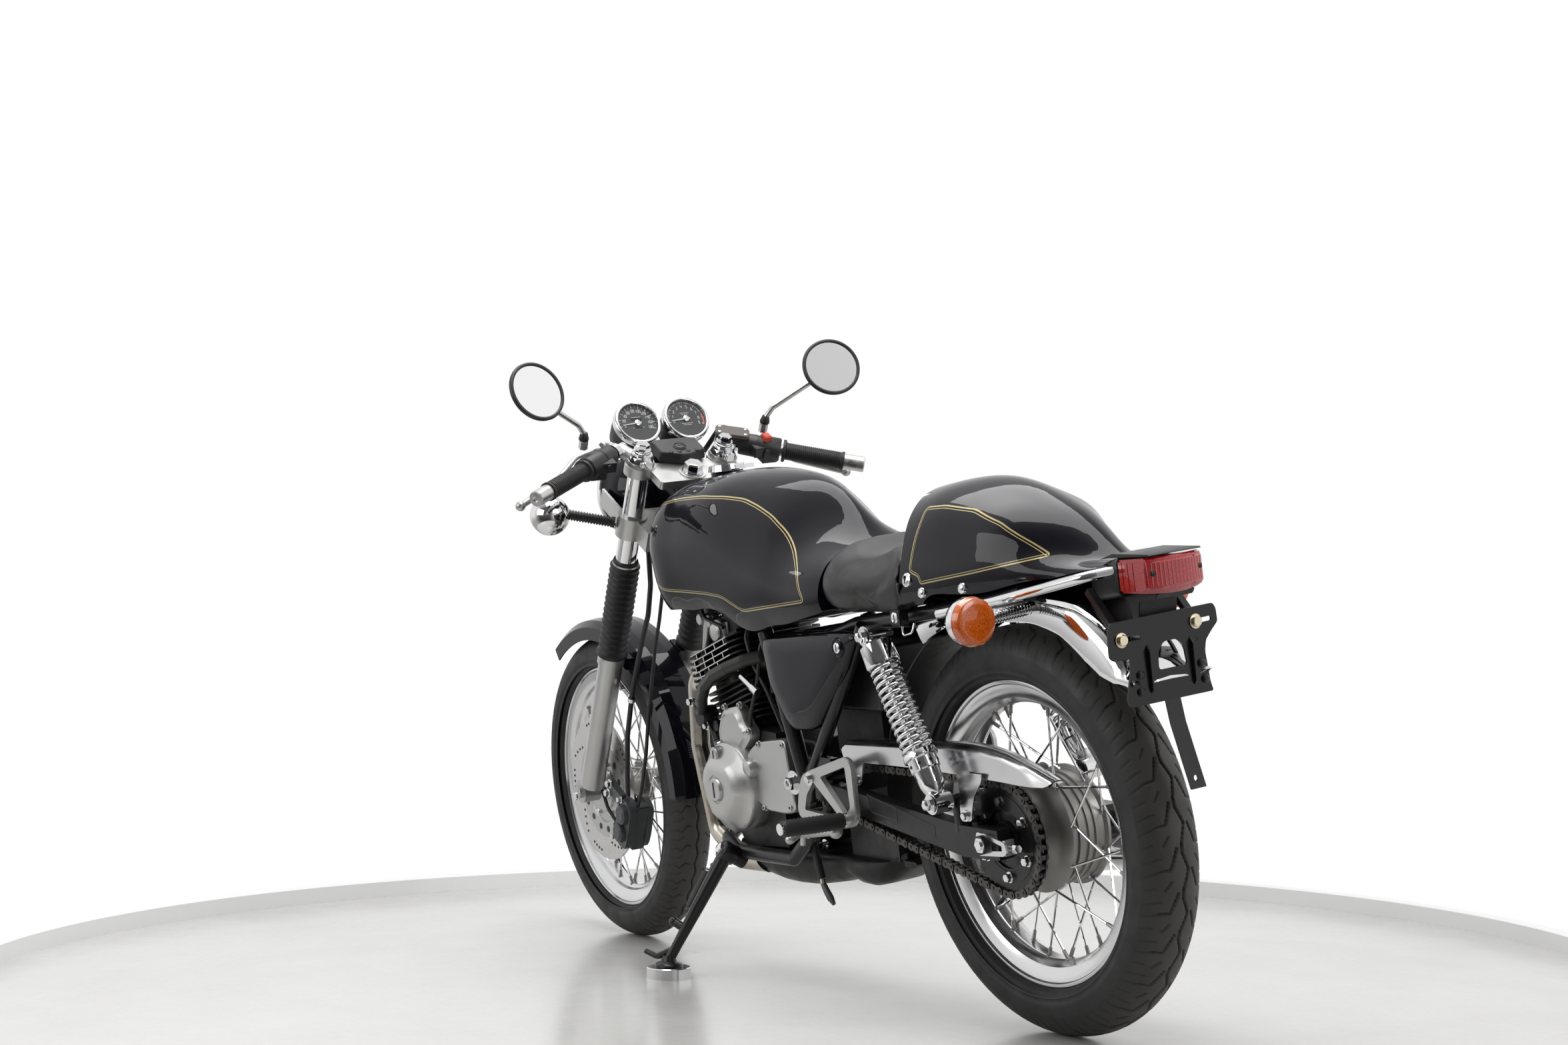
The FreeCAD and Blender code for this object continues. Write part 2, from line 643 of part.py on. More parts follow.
def frame_tubes():
    low = fork_to_bike(0, 970)
    high = fork_to_bike(0, 1051)
    mid = fork_to_bike(0, 1010)
    neck = rod((low[0], 0, low[1]), (high[0], 0, high[1]), 28)
    bore = rod((fork_to_bike(0, 960)[0], 0, fork_to_bike(0, 960)[1]),
               (fork_to_bike(0, 1060)[0], 0, fork_to_bike(0, 1060)[1]), 12.1)
    shaped("frame_spine", fused([neck, tube([(mid[0] - 8, 0, mid[1])] + SPINE, 22, 60)]).cut(bore))
    down = tube([(mid[0] - 16, 0, mid[1] - 6), (966, 0, 786), (960, 0, 560), (938, 0, 380)], 16, 60)
    loops = []
    for side in (1, -1):
        loops.append(tube([(940, side * 8, 400), (930, side * 14, 310), (898, side * 40, 268),
                           (852, side * 90, 262), (800, side * 100, 243), (610, side * 100, 245),
                           (524, side * 108, 300), (512, side * 112, 392)], 13, 20))
    swing = stand_swing()
    lug = Part.makeCylinder(15, 24, vec(*STAND_PIVOT).sub(vec(*swing).multiply(24.3)), swing)
    shaped("frame_cradle", fused([down.cut(bore), lug] + loops))
    posts = []
    for side in (1, -1):
        posts.append(rod((602, side * 108, 650), (518, side * 112, 392), 14))
        posts.append(rod((284, side * 112, 664), (500, side * 112, 400), 12))
        low, high = sorted((side * 104, side * 118))
        posts.append(plate([(520, 402), (480, 440), (426, 436), (426, 408), (478, 404)], low, high))
        posts.append(rod((512, side * 93, 392), (512, side * 122, 392), 17))
    shaped("frame_side_tubes", fused(posts + [rod((512, -122, 392), (512, 122, 392), 12)]))
    rails = []
    for side in (1, -1):
        rails.append(tube([(604, side * 92, 634), (430, side * 90, 640), (330, side * 92, 664),
                           (60, side * 100, 690), (-130, side * 90, 716)], 12, 60))
        rails.append(rod((-90, side * 60, 711), (-90, side * 90, 711), 6))
    front_bridge = rod((560, -92, 636), (560, 92, 636), 10)
    shaped("seat_rails", fused(rails + [front_bridge]))


def swingarm():
    pivot = (512, 392)
    half = size("arm_half")
    legs = []
    for side in (1, -1):
        profile = [(478, 366), (478, 398), (60, 352), (-34, 350), (-34, 304), (60, 302)]
        leg = plate(profile, side * half - 13, side * half + 13)
        legs.append(leg)
        legs.append(rod((70, side * half, 340), (70, side * half, 392), 14))
        legs.append(rod((70, side * half, 393), (70, side * (size("shock_half") + 14), 393), 8))
    cross = Part.makeBox(38, 2 * half, 30, vec(440, -half, 367))
    neck = Part.makeBox(60, 176, 30, vec(440, -88, 367))
    barrel = rod((pivot[0], -92, pivot[1]), (pivot[0], 92, pivot[1]), 22)
    z = size("rear_tyre_radius")
    axle = [rod((0, -128, z), (0, 128, z), size("axle_radius")), rod((0, 122, z), (0, 134, z), 15),
            rod((0, -134, z), (0, -122, z), 15)]
    pivot_bore = rod((pivot[0], -200, pivot[1]), (pivot[0], 200, pivot[1]), 12)
    shaped("swingarm", fused(legs + [cross, neck, barrel] + axle).cut(pivot_bore))


def shocks():
    top, bottom = vec(203, 0, 655), vec(70, 0, 393)
    along = bottom.sub(top)
    reach = along.Length
    along.normalize()
    pair = []
    for side in (1, -1):
        y = side * size("shock_half")

        def at(distance):
            p = top.add(vec(along.x, 0, along.z).multiply(distance))
            return (p.x, y, p.z)

        eye = rod((top.x, y - 12, top.z), (top.x, y + 12, top.z), 14)
        foot = rod((bottom.x, y - 12, bottom.z), (bottom.x, y + 12, bottom.z), 13)
        body = [eye, foot.cut(rod((bottom.x, y - 20, bottom.z), (bottom.x, y + 20, bottom.z), 8)),
                rod(at(12), at(22), 16), rod(at(20), at(52), 28), rod(at(50), at(190), 20),
                rod(at(188), at(218), 29), rod(at(216), at(258), 24), rod(at(256), at(reach - 10), 14)]
        turns, length = 9, 138
        for number in range(turns):
            d = 54 + number * length / turns
            a, b = at(d), at(d + 7)
            ring = rod(a, b, 28.5)
            body.append(ring)
        bore = rod((bottom.x, y - 20, bottom.z), (bottom.x, y + 20, bottom.z), 8)
        stud = rod((top.x, side * 120, top.z), (top.x, side * 168, top.z), 8)
        pair.append(fused(fused(body).cut(bore).fuse(stud).Solids))
    shaped("shock_absorbers", Part.makeCompound(pair))


def chain_and_guard():
    rear = (0, size("rear_tyre_radius"))
    front = (size("pinion_x"), size("pinion_z"))
    y = size("chain_line")

    def belt(extra):
        r1, r2 = size("sprocket_radius") + extra, 30 + extra
        dx, dz = front[0] - rear[0], front[1] - rear[1]
        reach = math.hypot(dx, dz)
        base = math.atan2(dz, dx)
        lean = math.acos((r1 - r2) / reach)
        pts = []
        for centre, radius in ((rear, r1), (front, r2)):
            for sign in (1, -1):
                a = base + sign * lean
                pts.append(vec(centre[0] + radius * math.cos(a), y, centre[1] + radius * math.sin(a)))
        back = vec(rear[0] - r1 * math.cos(base), y, rear[1] - r1 * math.sin(base))
        nose = vec(front[0] + r2 * math.cos(base), y, front[1] + r2 * math.sin(base))
        return Part.Face(Part.Wire([
            Part.Arc(pts[0], back, pts[1]).toShape(),
            Part.LineSegment(pts[1], pts[3]).toShape(),
            Part.Arc(pts[3], nose, pts[2]).toShape(),
            Part.LineSegment(pts[2], pts[0]).toShape(),
        ]))

    loop = belt(13).extrude(vec(0, 18, 0)).cut(belt(1.5).extrude(vec(0, 18, 0)))
    loop.translate(vec(0, -9, 0))
    shaped("drive_chain", loop)
    z = size("rear_tyre_radius")
    disc = Part.makeCylinder(size("sprocket_radius"), 6, vec(0, y - 3, z), vec(0, 1, 0))
    for number in range(5):
        hole = Part.makeCylinder(13, 10, vec(58, y - 5, z), vec(0, 1, 0))
        hole.rotate(vec(0, 0, z), vec(0, 1, 0), 36 + number * 72)
        disc = disc.cut(hole)
    carrier = Part.makeCylinder(48, y - 3 - 62, vec(0, 62, z), vec(0, 1, 0))
    bore = Part.makeCylinder(size("axle_radius") + size("axle_clearance"), 60, vec(0, 50, z), vec(0, 1, 0))
    shaped("rear_sprocket", fused([disc, carrier]).cut(bore))

    guard = plate([(394, 448), (390, 466), (378, 474), (60, 482), (-90, 470, -14, 480),
                   (-184, 430, -140, 454), (-176, 422), (-90, 456, -134, 442), (60, 468), (380, 460)],
                  66, 112)
    stay = Part.makeBox(34, 4, 110, vec(30, 122, 360))
    link = Part.makeBox(34, 16, 4, vec(30, 110, 466))
    shaped("chain_guard", fused([guard, stay, link]))


# ---------------------------------------------------------------- engine

def cylinder_place(shape):
    turn = FreeCAD.Placement(vec(size("crank_x"), 0, size("crank_z")),
                             FreeCAD.Rotation(vec(0, 1, 0), size("cylinder_lean")))
    shape.Placement = turn.multiply(shape.Placement)
    return shape


def fins(levels, half_x, half_y, corner):
    plates = []
    for level in levels:
        fin = Part.makeBox(2 * half_x, 2 * half_y, size("fin_thickness"), vec(-half_x, -half_y, level))
        upright = [e for e in fin.Edges if abs(e.Length - size("fin_thickness")) < 0.01]
        plates.append(fin.makeFillet(corner, upright))
    return plates


def engine():
    crank = (size("crank_x"), size("crank_z"))
    case = plate([(crank[0] + 96, 330), (crank[0] + 92, 440), (crank[0] + 70, 474), (crank[0] - 70, 460),
                  (560, 452), (536, 420), (540, 330), (596, 262), (crank[0] + 40, 252)], -84, 62)
    flank = plate([(crank[0] + 96, 330), (crank[0] + 92, 440), (crank[0] + 70, 474), (650, 464), (650, 259),
                   (crank[0] + 40, 252)], 50, 84)
    px, pz, line = size("pinion_x"), size("pinion_z"), size("chain_line")
    pinion = [rod((px, 55, pz), (px, line + 4, pz), 14), rod((px, line - 4, pz), (px, line + 4, pz), 31)]
    shaped("crankcase", fused([softened(case, 8), flank] + pinion))

    pitch = size("fin_pitch")
    barrel = [Part.makeCylinder(62, 108, vec(0, 0, 92))]
    barrel += fins([104 + n * pitch for n in range(8)], 84, 82, 20)
    shaped("cylinder_barrel", cylinder_place(fused(barrel)))
    head = [Part.makeBox(120, 130, 72, vec(-60, -65, 200))]
    head += fins([202 + n * pitch for n in range(6)], 100, 98, 26)
    cover = softened(Part.makeBox(132, 120, 46, vec(-66, -60, 266)), 10)
    shaped("cylinder_head", cylinder_place(fused(head + [cover])))

    dome = [(84, 0), (84, 80), (128, 80), (136, 72), (150, 52), (150, 22), (156, 20), (156, 0)]
    pts = [vec(crank[0], y, crank[1] + r) for y, r in dome]
    face = Part.Face(Part.makePolygon(pts + pts[:1]))
    shaped("alternator_cover", face.revolve(vec(crank[0], 0, crank[1]), vec(0, 1, 0), 360))
    sprocket = plate([(680, 448), (556, 440), (548, 400), (560, 350), (596, 318), (690, 306), (706, 320),
                      (690, 340), (676, 370), (680, 410)], 84, 112)
    starter = plate([(772, 452), (752, 516), (724, 524), (696, 500), (690, 452)], 84, 106)
    chain_room = Part.makeBox(110, 20, 200, vec(530, 72, 300))
    shaped("sprocket_cover", fused([softened(sprocket, 5), softened(starter, 5)]).cut(chain_room))
    clutch = [(-84, 0), (-84, 92), (-120, 92), (-132, 84), (-140, 60), (-140, 0)]
    pts = [vec(660, y, 360 + r) for y, r in clutch]
    face = Part.Face(Part.makePolygon(pts + pts[:1]))
    disc = face.revolve(vec(660, 0, 360), vec(0, 1, 0), 360)
    pump = rod((crank[0] + 20, -84, 355), (crank[0] + 20, -122, 355), 66)
    shaped("clutch_cover", fused([disc, pump]))


def intake_and_exhaust():
    carbs = []
    for side in (1, -1):
        carbs.append(rod((566, side * 34, 590), (742, side * 34, 592), 26))
        carbs.append(Part.makeBox(56, 44, 96, vec(640, side * 34 - 22, 530)))
    box = softened(Part.makeBox(250, 148, 108, vec(316, -74, 512)), 8)
    shaped("intake", fused(carbs + [box]))
    pipes = []
    for side in (1, -1):
        pipes.append(tube([(912, side * 38, 566), (978, side * 44, 552), (986, side * 50, 420),
                           (950, side * 54, 262), (872, side * 52, 212), (790, side * 46, 212)], 18, 34))
    shaped("exhaust_pipes", Part.makeCompound(pipes))
    profile = [(830, 240), (790, 200), (696, 190), (640, 196), (560, 206), (500, 204), (427, 198), (350, 212),
               (322, 238), (560, 248)]
    pan = plate(profile, -70, 70)
    shaped("exhaust_collector", softened(pan, 7))
    link = tube([(380, -40, 222), (330, -110, 226), (280, -160, 240)], 20, 40)
    start, end = vec(300, -160, 238), vec(-190, -172, 300)
    along = end.sub(start)
    reach = along.Length
    along.normalize()

    def at(distance):
        p = start.add(vec(along.x, along.y, along.z).multiply(distance))
        return (p.x, p.y, p.z)

    can = fused([link, rod(at(0), at(120), 22, 45), rod(at(120), at(420), 45), rod(at(420), at(470), 45, 32),
                 rod(at(470), at(reach), 22)])
    shaped("silencer", can)


# ---------------------------------------------------------------- bodywork

# for each section: x, then (half width, height) from the bottom edge up to the centre of the top
TANK = [
    (956, [(76, 694), (90, 713), (100, 760), (98, 810), (72, 848), (0, 858)]),
    (940, [(102, 689), (114, 711), (126, 765), (124, 822), (98, 868), (0, 887)]),
    (908, [(118, 688), (132, 712), (144, 770), (143, 832), (108, 886), (0, 907)]),
    (860, [(125, 690), (138, 715), (150, 775), (148, 837), (110, 896), (0, 921)]),
    (780, [(128, 692), (140, 718), (151, 775), (148, 835), (108, 899), (0, 929)]),
    (700, [(130, 682), (143, 710), (152, 770), (146, 830), (103, 897), (0, 929)]),
    (630, [(130, 657), (143, 690), (152, 755), (140, 815), (88, 888), (0, 924)]),
    (560, [(132, 660), (145, 692), (151, 747), (128, 806), (68, 880), (0, 914)]),
    (500, [(134, 667), (146, 696), (147, 741), (106, 800), (48, 862), (0, 896)]),
    (450, [(136, 674), (147, 700), (144, 738), (94, 792), (36, 840), (0, 868)]),
    (400, [(138, 683), (147, 705), (142, 736), (104, 778), (44, 806), (0, 822)]),
    (364, [(136, 690), (142, 708), (138, 734), (112, 770), (60, 786), (0, 792)]),
]
SEAT = [
    (362, [(120, 696), (136, 712), (140, 738), (116, 776), (66, 798), (0, 803)]),
    (340, [(128, 692), (143, 712), (147, 738), (124, 776), (74, 797), (0, 801)]),
    (290, [(132, 690), (146, 712), (150, 738), (130, 766), (80, 782), (0, 786)]),
    (220, [(130, 690), (142, 712), (146, 738), (130, 764), (84, 780), (0, 784)]),
    (110, [(122, 694), (128, 714), (130, 742), (122, 770), (86, 792), (0, 798)]),
]
COWL = [
    (170, [(126, 699), (132, 724), (130, 769), (113, 823), (69, 862), (0, 876)]),
    (115, [(126, 701), (132, 726), (130, 771), (113, 827), (68, 869), (0, 883)]),
    (60, [(124, 703), (131, 728), (129, 775), (112, 832), (64, 874), (0, 888)]),
    (-20, [(118, 710), (126, 735), (122, 780), (102, 830), (54, 868), (0, 884)]),
    (-100, [(106, 720), (112, 742), (106, 780), (80, 828), (36, 852), (0, 862)]),
    (-160, [(92, 730), (94, 746), (76, 772), (54, 806), (24, 830), (0, 836)]),
    (-210, [(78, 738), (74, 746), (48, 764), (32, 788), (14, 802), (0, 806)]),
    (-250, [(66, 744), (58, 750), (32, 759), (18, 768), (8, 773), (0, 775)]),
    (-300, [(56, 747), (48, 750), (30, 752), (18, 753), (8, 754), (0, 754)]),
]


def inner_section(x, side):
    """The section four millimetres inside a shell, open towards the floor."""
    raised = [(max(y - 4, 0), z - 4) for y, z in side[1:]]
    return (x, [(side[0][0] - 4, side[0][1] - 40)] + raised)


COWL_INSIDE = [inner_section(x + 24 if x == 60 else x, side) for x, side in COWL[2:7]]


def bodywork():
    neck = rod((848, 0, 900), (848, 0, 930), 30)
    base = fork_to_bike(0, 1048)
    top = fork_to_bike(0, 1100)
    clamp_room = rod((base[0], 0, base[1]), (top[0], 0, top[1]), 88)
    shaped("fuel_tank", skinned(TANK).fuse(neck).cut(tank_tunnel()).cut(clamp_room))
    cap = rod((848, 0, 930.5), (848, 0, 942), 35, 32)
    x, y, z = LID_HINGE
    pin = rod((x, -9, z), (x, 9, z), 4)
    shaped("filler_cap", fused([cap, pin, Part.makeBox(64, 20, 7, vec(766, -10, 933))]))
    room = turned([(-79, 100), (-79, 420), (79, 420), (79, 100)], (0, 0, size("rear_tyre_radius")))
    shaped("seat", skinned(SEAT).cut(skinned(TANK)).cut(room))
    front = Part.makeBox(400, 400, 400, vec(-20, -200, 560))
    front = front.cut(Part.makeCylinder(200, 400, vec(35, 0, 560), vec(-0.33, 0, 1)))
    shaped("tail_cowl", skinned(COWL).cut(skinned(COWL_INSIDE)).cut(room).cut(front))
    cover = softened(plate([(566, 638), (326, 642), (334, 622), (484, 506), (506, 506)], 105, 126), 7)
    shaped("side_covers", Part.makeCompound([cover, mirrored(cover)]))


def tank_tunnel():
    """Room under the tank for the frame's spine, head tube and down tube."""
    ridge = [(1010, 650), (1010, 880)] + [(x, z) for x, y, z in SPINE] + [(380, 660), (380, 640)]
    return tube([(1010, 0, 876)] + SPINE, 29, 60).fuse(plate(ridge, -29, 29))


def rear_body():
    axle = (0, 0, size("rear_tyre_radius"))
    outer = 412
    section = [(-72, outer - 26), (-72, outer - 12), (-54, outer - 2), (-24, outer), (24, outer),
               (54, outer - 2), (72, outer - 12), (72, outer - 26), (69, outer - 26), (69, outer - 14),
               (52, outer - 5), (23, outer - 3), (-23, outer - 3), (-52, outer - 5), (-69, outer - 14),
               (-69, outer - 26)]
    shell = turned(section, axle, angle=84)
    shell.rotate(vec(*axle), vec(0, 1, 0), -52)
    shaped("rear_fender", shell)
    lamp = softened(Part.makeBox(112, 108, 56, vec(-386, -54, 704)), 5)
    foot = Part.makeBox(105, 50, 50, vec(-330, -25, 662))
    shaped("tail_light", fused([lamp, foot]))
    bracket = Part.makeBox(3, 190, 60, vec(-340, -95, 610))
    lower = Part.makeBox(3, 150, 70, vec(-340, -75, 548))
    arm = Part.makeBox(78, 60, 4, vec(-340, -30, 638))
    screw_holes = [rod((-345, side * 71, 652), (-330, side * 71, 652), 3.3) for side in (1, -1)]
    strip = Part.makeBox(3, 26, 152, vec(-1.5, -13, -146))
    strip.rotate(vec(0, 0, 0), vec(0, 1, 0), 15)
    strip.translate(vec(-338, 0, 560))
    shaped("plate_bracket", fused([bracket, lower, arm, strip]).cut(screw_holes[0]).cut(screw_holes[1]))
    rail = []
    for side in (1, -1):
        rail.append(tube([(36, side * 132, 688), (-110, side * 124, 708), (-285, side * 92, 738),
                          (-305, side * 40, 742), (-306, 0, 742)], 8, 30))
        rail.append(rod((20, side * 96, 694), (20, side * 132, 690), 7))
    shaped("grab_rail", fused(rail))
    lamps = []
    for side in (1, -1):
        stalk = rod((-127, side * 66, 690), (-127, side * 165, 687), 10)
        back = vec(-127, side * 190, 686)
        behind = vec(-1, 0, 0)
        shell = Part.makeSphere(38, back).common(half_space(back, behind))
        lens = Part.makeCylinder(38, 18, back, behind)
        lamps.append(fused([stalk, shell, lens]))
    shaped("rear_indicators", Part.makeCompound(lamps))


def footrest():
    loop = plate([(452, 432), (430, 440), (322, 468), (314, 462), (318, 340), (334, 330), (350, 334),
                  (470, 372)], 140, 150)
    window = plate([(420, 420), (336, 444), (340, 352)], 135, 155)
    peg = rod((338, 148, 345), (338, 276, 345), 14)
    studs = [rod((436, 118, 421), (436, 153, 421), 9), rod((466, 118, 412), (466, 146, 412), 9)]
    return fused([loop.cut(window), peg] + studs)


def foot_lever():
    pivot = rod((372, 144, 334), (380, 164, 322), 11)
    pedal = tube([(380, 156, 322), (480, 160, 312), (484, 196, 310)], 7, 12)
    return fused([pedal, pivot])


def footrests():
    rest, lever = footrest(), foot_lever()
    rest = fused([rest, lever])
    shaped("footrests", Part.makeCompound([rest, mirrored(rest)]))


def stand_swing():
    """The line that the stand folds about, square to its leg both when down and when folded."""
    down = vec(*STAND_FOOT).sub(vec(*STAND_PIVOT))
    return down.cross(vec(*STAND_FOLDED)).normalize()


def side_stand():
    fx, fy, fz = STAND_FOOT
    pivot = vec(*STAND_PIVOT)
    swing = stand_swing()
    hip = pivot.add(vec(*swing).multiply(16))
    leg = tube([(hip.x, hip.y, hip.z), (793, 158, 164), (826, 206, 112), (fx, fy - 4, fz + 8)], 10, 30)
    knuckle = Part.makeCylinder(17, 25, pivot, swing)
    world_up = vec(0, -math.sin(LEAN), math.cos(LEAN))
    sole = Part.makeCylinder(24, 6, vec(fx, fy, fz), world_up)
    shaped("side_stand", fused([leg, knuckle, sole]))
    base = vec(fx, fy, fz).sub(vec(0, world_up.y, world_up.z).multiply(PUCK_HEIGHT))
    shaped("stand_puck", Part.makeCylinder(40, PUCK_HEIGHT, base, world_up))


# ---------------------------------------------------------------- build

def build():
    wheels()
    brake_disc()
    stanchions()
    sliders()
    gaiters()
    clamps()
    fork_caps()
    handlebars()
    brake_reservoir()
    shaped_pair("mirrors", mirror, FORK)
    clocks()
    headlight()
    front_indicators()
    front_fender()
    front_caliper()
    brake_hose()
    frame_tubes()
    swingarm()
    shocks()
    chain_and_guard()
    engine()
    intake_and_exhaust()
    bodywork()
    rear_body()
    footrests()
    side_stand()
    return settle()


def export():
    DOC.recompute()
    for obj in DOC.Objects:
        if "Invalid" in obj.State or "Error" in obj.State:
            raise RuntimeError(f"{obj.Name} did not build: {obj.State}")
    faulty = [label for label, obj in NODES.items() if obj.Shape.isNull() or not obj.Shape.isValid()]
    if faulty:
        raise RuntimeError("not valid: " + ", ".join(faulty))
    os.makedirs("parts", exist_ok=True)
    for label, obj in NODES.items():
        obj.Shape.exportStep(f"parts/{label}.step")


TO_ORIGIN = build()
export()
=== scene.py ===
"""The looks of a cafe racer on its side stand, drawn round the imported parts."""
import json
from math import asin, atan2, cos, pi, radians, sin, tan, tau

import bmesh
import bpy
import numpy as np
from mathutils import Matrix, Vector
from mathutils.bvhtree import BVHTree


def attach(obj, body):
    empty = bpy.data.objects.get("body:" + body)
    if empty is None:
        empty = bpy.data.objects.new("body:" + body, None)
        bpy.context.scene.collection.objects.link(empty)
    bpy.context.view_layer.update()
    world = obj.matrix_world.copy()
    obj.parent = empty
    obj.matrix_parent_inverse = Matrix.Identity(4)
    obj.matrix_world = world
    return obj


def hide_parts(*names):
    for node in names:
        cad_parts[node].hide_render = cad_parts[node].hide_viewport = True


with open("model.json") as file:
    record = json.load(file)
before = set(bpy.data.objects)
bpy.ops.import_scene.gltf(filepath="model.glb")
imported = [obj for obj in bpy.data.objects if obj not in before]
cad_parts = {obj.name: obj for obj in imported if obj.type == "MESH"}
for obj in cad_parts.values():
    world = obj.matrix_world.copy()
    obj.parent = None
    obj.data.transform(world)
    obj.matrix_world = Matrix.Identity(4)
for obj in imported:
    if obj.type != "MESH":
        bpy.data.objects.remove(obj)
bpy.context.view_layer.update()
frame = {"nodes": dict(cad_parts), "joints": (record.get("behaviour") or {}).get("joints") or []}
NODES = frame["nodes"]
JOINTS = {j["name"]: j for j in frame["joints"]}
MM = 0.001


# ------------------------------------------------------------------ places

def turned(angle, axis="Y"):
    """A turn about one axis of the frame, the one across the machine if none is named."""
    return Matrix.Rotation(angle, 4, axis)


def shift(x, y, z):
    """A move without a turn."""
    return Matrix.Translation((x, y, z))


def axes(origin, x, y, z):
    """A matrix from millimetres in a local frame to the model's metres."""
    m = Matrix((x, y, z)).transposed().to_4x4()
    m.translation = origin
    return m @ Matrix.Scale(MM, 4)


def bike_frame():
    """X forward, Y left, Z up on the upright machine; origin on the floor under the rear axle."""
    joint = JOINTS["rear_wheel_spin"]
    x, y = Vector((1, 0, 0)), Vector(joint["axis"])
    z = x.cross(y)
    return axes(Vector(joint["pos_m"]) - z * REAR_RADIUS * MM, x, y, z)


def fork_frame():
    """X ahead of the steering axis, Y left, Z up along the steering axis."""
    joint = JOINTS["front_wheel_spin"]
    z, y = Vector(JOINTS["steering"]["axis"]), Vector(joint["axis"])
    x = y.cross(z)
    return axes(Vector(joint["pos_m"]) - x * AXLE_LEAD * MM - z * AXLE_LEVEL * MM, x, y, z)


ORIGIN, AHEAD, LEFT, UP = (0, 0, 0), (1, 0, 0), (0, 1, 0), (0, 0, 1)
REAR_RADIUS = 327
FRONT_RADIUS = 309
AXLE_LEAD = 60
AXLE_LEVEL = 322.8
BIKE = bike_frame()
FORK = fork_frame()
REAR_HUB = BIKE @ shift(0, 0, REAR_RADIUS)
FRONT_HUB = FORK @ shift(AXLE_LEAD, 0, AXLE_LEVEL)
FRAME_OF = {"steering": FORK, "front_wheel_body": FRONT_HUB, "rear_wheel_body": REAR_HUB}
SIDES = ((1, "left"), (-1, "right"))


# ------------------------------------------------------------------ finishes

class Flow:
    """A socket in a material that takes part in ordinary sums."""

    def __init__(self, tree, socket):
        self.tree = tree
        self.socket = socket

    def node(self, kind, inputs=(), out=0, **settings):
        """Makes a node from values and flows; gives the flow out of one of its sockets."""
        made = self.tree.nodes.new(kind)
        for key, value in settings.items():
            setattr(made, key, value)
        for key, value in dict(inputs).items():
            if isinstance(value, Flow):
                self.tree.links.new(value.socket, made.inputs[key])
            else:
                made.inputs[key].default_value = value
        return Flow(self.tree, made.outputs[out])

    def __add__(self, other):
        return self.node("ShaderNodeMath", {0: self, 1: other}, operation="ADD")

    def __rsub__(self, other):
        return self.node("ShaderNodeMath", {0: other, 1: self}, operation="SUBTRACT")

    def __mul__(self, other):
        return self.node("ShaderNodeMath", {0: self, 1: other}, operation="MULTIPLY")

    def noise(self, scale, detail=2.0, rough=0.5):
        """Soft random values at this place."""
        return self.node("ShaderNodeTexNoise", {"Vector": self, "Scale": scale, "Detail": detail,
                                                "Roughness": rough})

    def cells(self, scale, out=0, feature="F1"):
        """Distances within random cells at this place."""
        return self.node("ShaderNodeTexVoronoi", {"Vector": self, "Scale": scale}, out, feature=feature)

    def spread(self, low, high, to_low=0.0, to_high=1.0):
        """Stretches the values from low to high over another range."""
        return self.node("ShaderNodeMapRange", {0: self, 1: low, 2: high, 3: to_low, 4: to_high})

    def blend(self, first, second):
        """A colour between two, by this value."""
        colour = {0: self, 6: first, 7: second}
        return self.node("ShaderNodeMix", colour, 2, data_type="RGBA")

    def bump(self, strength, distance):
        """A surface direction from this height."""
        return self.node("ShaderNodeBump", {"Height": self, "Strength": strength, "Distance": distance})


def first_flow(tree, kind, socket):
    """The flow out of a node that takes nothing in."""
    return Flow(tree, tree.nodes.new(kind).outputs[socket])


FINISHES = {}


def finish(name, colour, rough, metal=0.0, coat=0.0, vary=None, **values):
    """Adds a material to the finishes. vary(place) gives the sockets that change over the surface."""
    mat = bpy.data.materials.new(name)
    mat.use_nodes = True
    tree = mat.node_tree
    shader = tree.nodes["Principled BSDF"]
    plain = {"Base Color": (*colour, 1), "Roughness": rough, "Metallic": metal, "Coat Weight": coat,
             "Coat Roughness": 0.03}
    plain.update(values)
    for key, value in plain.items():
        shader.inputs[key].default_value = value
    if vary:
        for key, flow in vary(first_flow(tree, "ShaderNodeTexCoord", "Object")).items():
            tree.links.new(flow.socket, shader.inputs[key])
    mat.diffuse_color = (*colour, 1)
    FINISHES[name] = mat
    return mat


def grain(scale, low, high, bump=0.0, bump_scale=None, depth=0.0004):
    """Roughness that drifts between two values, with an optional fine bump."""
    def vary(at):
        made = {"Roughness": at.noise(scale, 4.0).spread(0.3, 0.7, low, high)}
        if bump:
            made["Normal"] = at.noise(bump_scale, 3.0).bump(bump, depth)
        return made
    return vary


def vinyl(at):
    """Small raised cells with a drifting sheen."""
    skin = at.cells(420.0, 0, "SMOOTH_F1") + at.noise(900.0, 2.0) * 0.4
    return {"Normal": skin.bump(0.22, 0.0005), "Roughness": at.noise(9.0, 3.0).spread(0.3, 0.7, 0.36, 0.46)}


def tyre_skin(at):
    """Dusty on the crown, with painted shade that darkens the grooves, from the mesh's own dust and shade
    values.
    """
    dust_and_groove_shade = at.node("ShaderNodeAttribute", (), 2, attribute_name="dust_and_groove_shade")
    # Dust on the crown, and painted shade that turns the grooves dark.
    patchy_dust_and_shade = dust_and_groove_shade * at.noise(7.0, 6.0, 0.65).spread(0.3, 0.75, 0.55, 1.0)
    return {"Base Color": patchy_dust_and_shade.blend((0.012, 0.012, 0.0125, 1), (0.062, 0.059, 0.054, 1)),
            "Roughness": at.noise(30.0, 4.0).spread(0.3, 0.7, 0.48, 0.66),
            "Normal": at.noise(700.0, 3.0).bump(0.15, 0.0004)}


def lens(light, dark):
    """Coloured plastic with a fine pattern of ribs moulded behind its face."""
    def vary(at):
        ribs = at.cells(480.0)
        return {"Base Color": ribs.spread(0.1, 0.75).blend(light, dark), "Normal": ribs.bump(0.25, 0.0006)}
    return vary


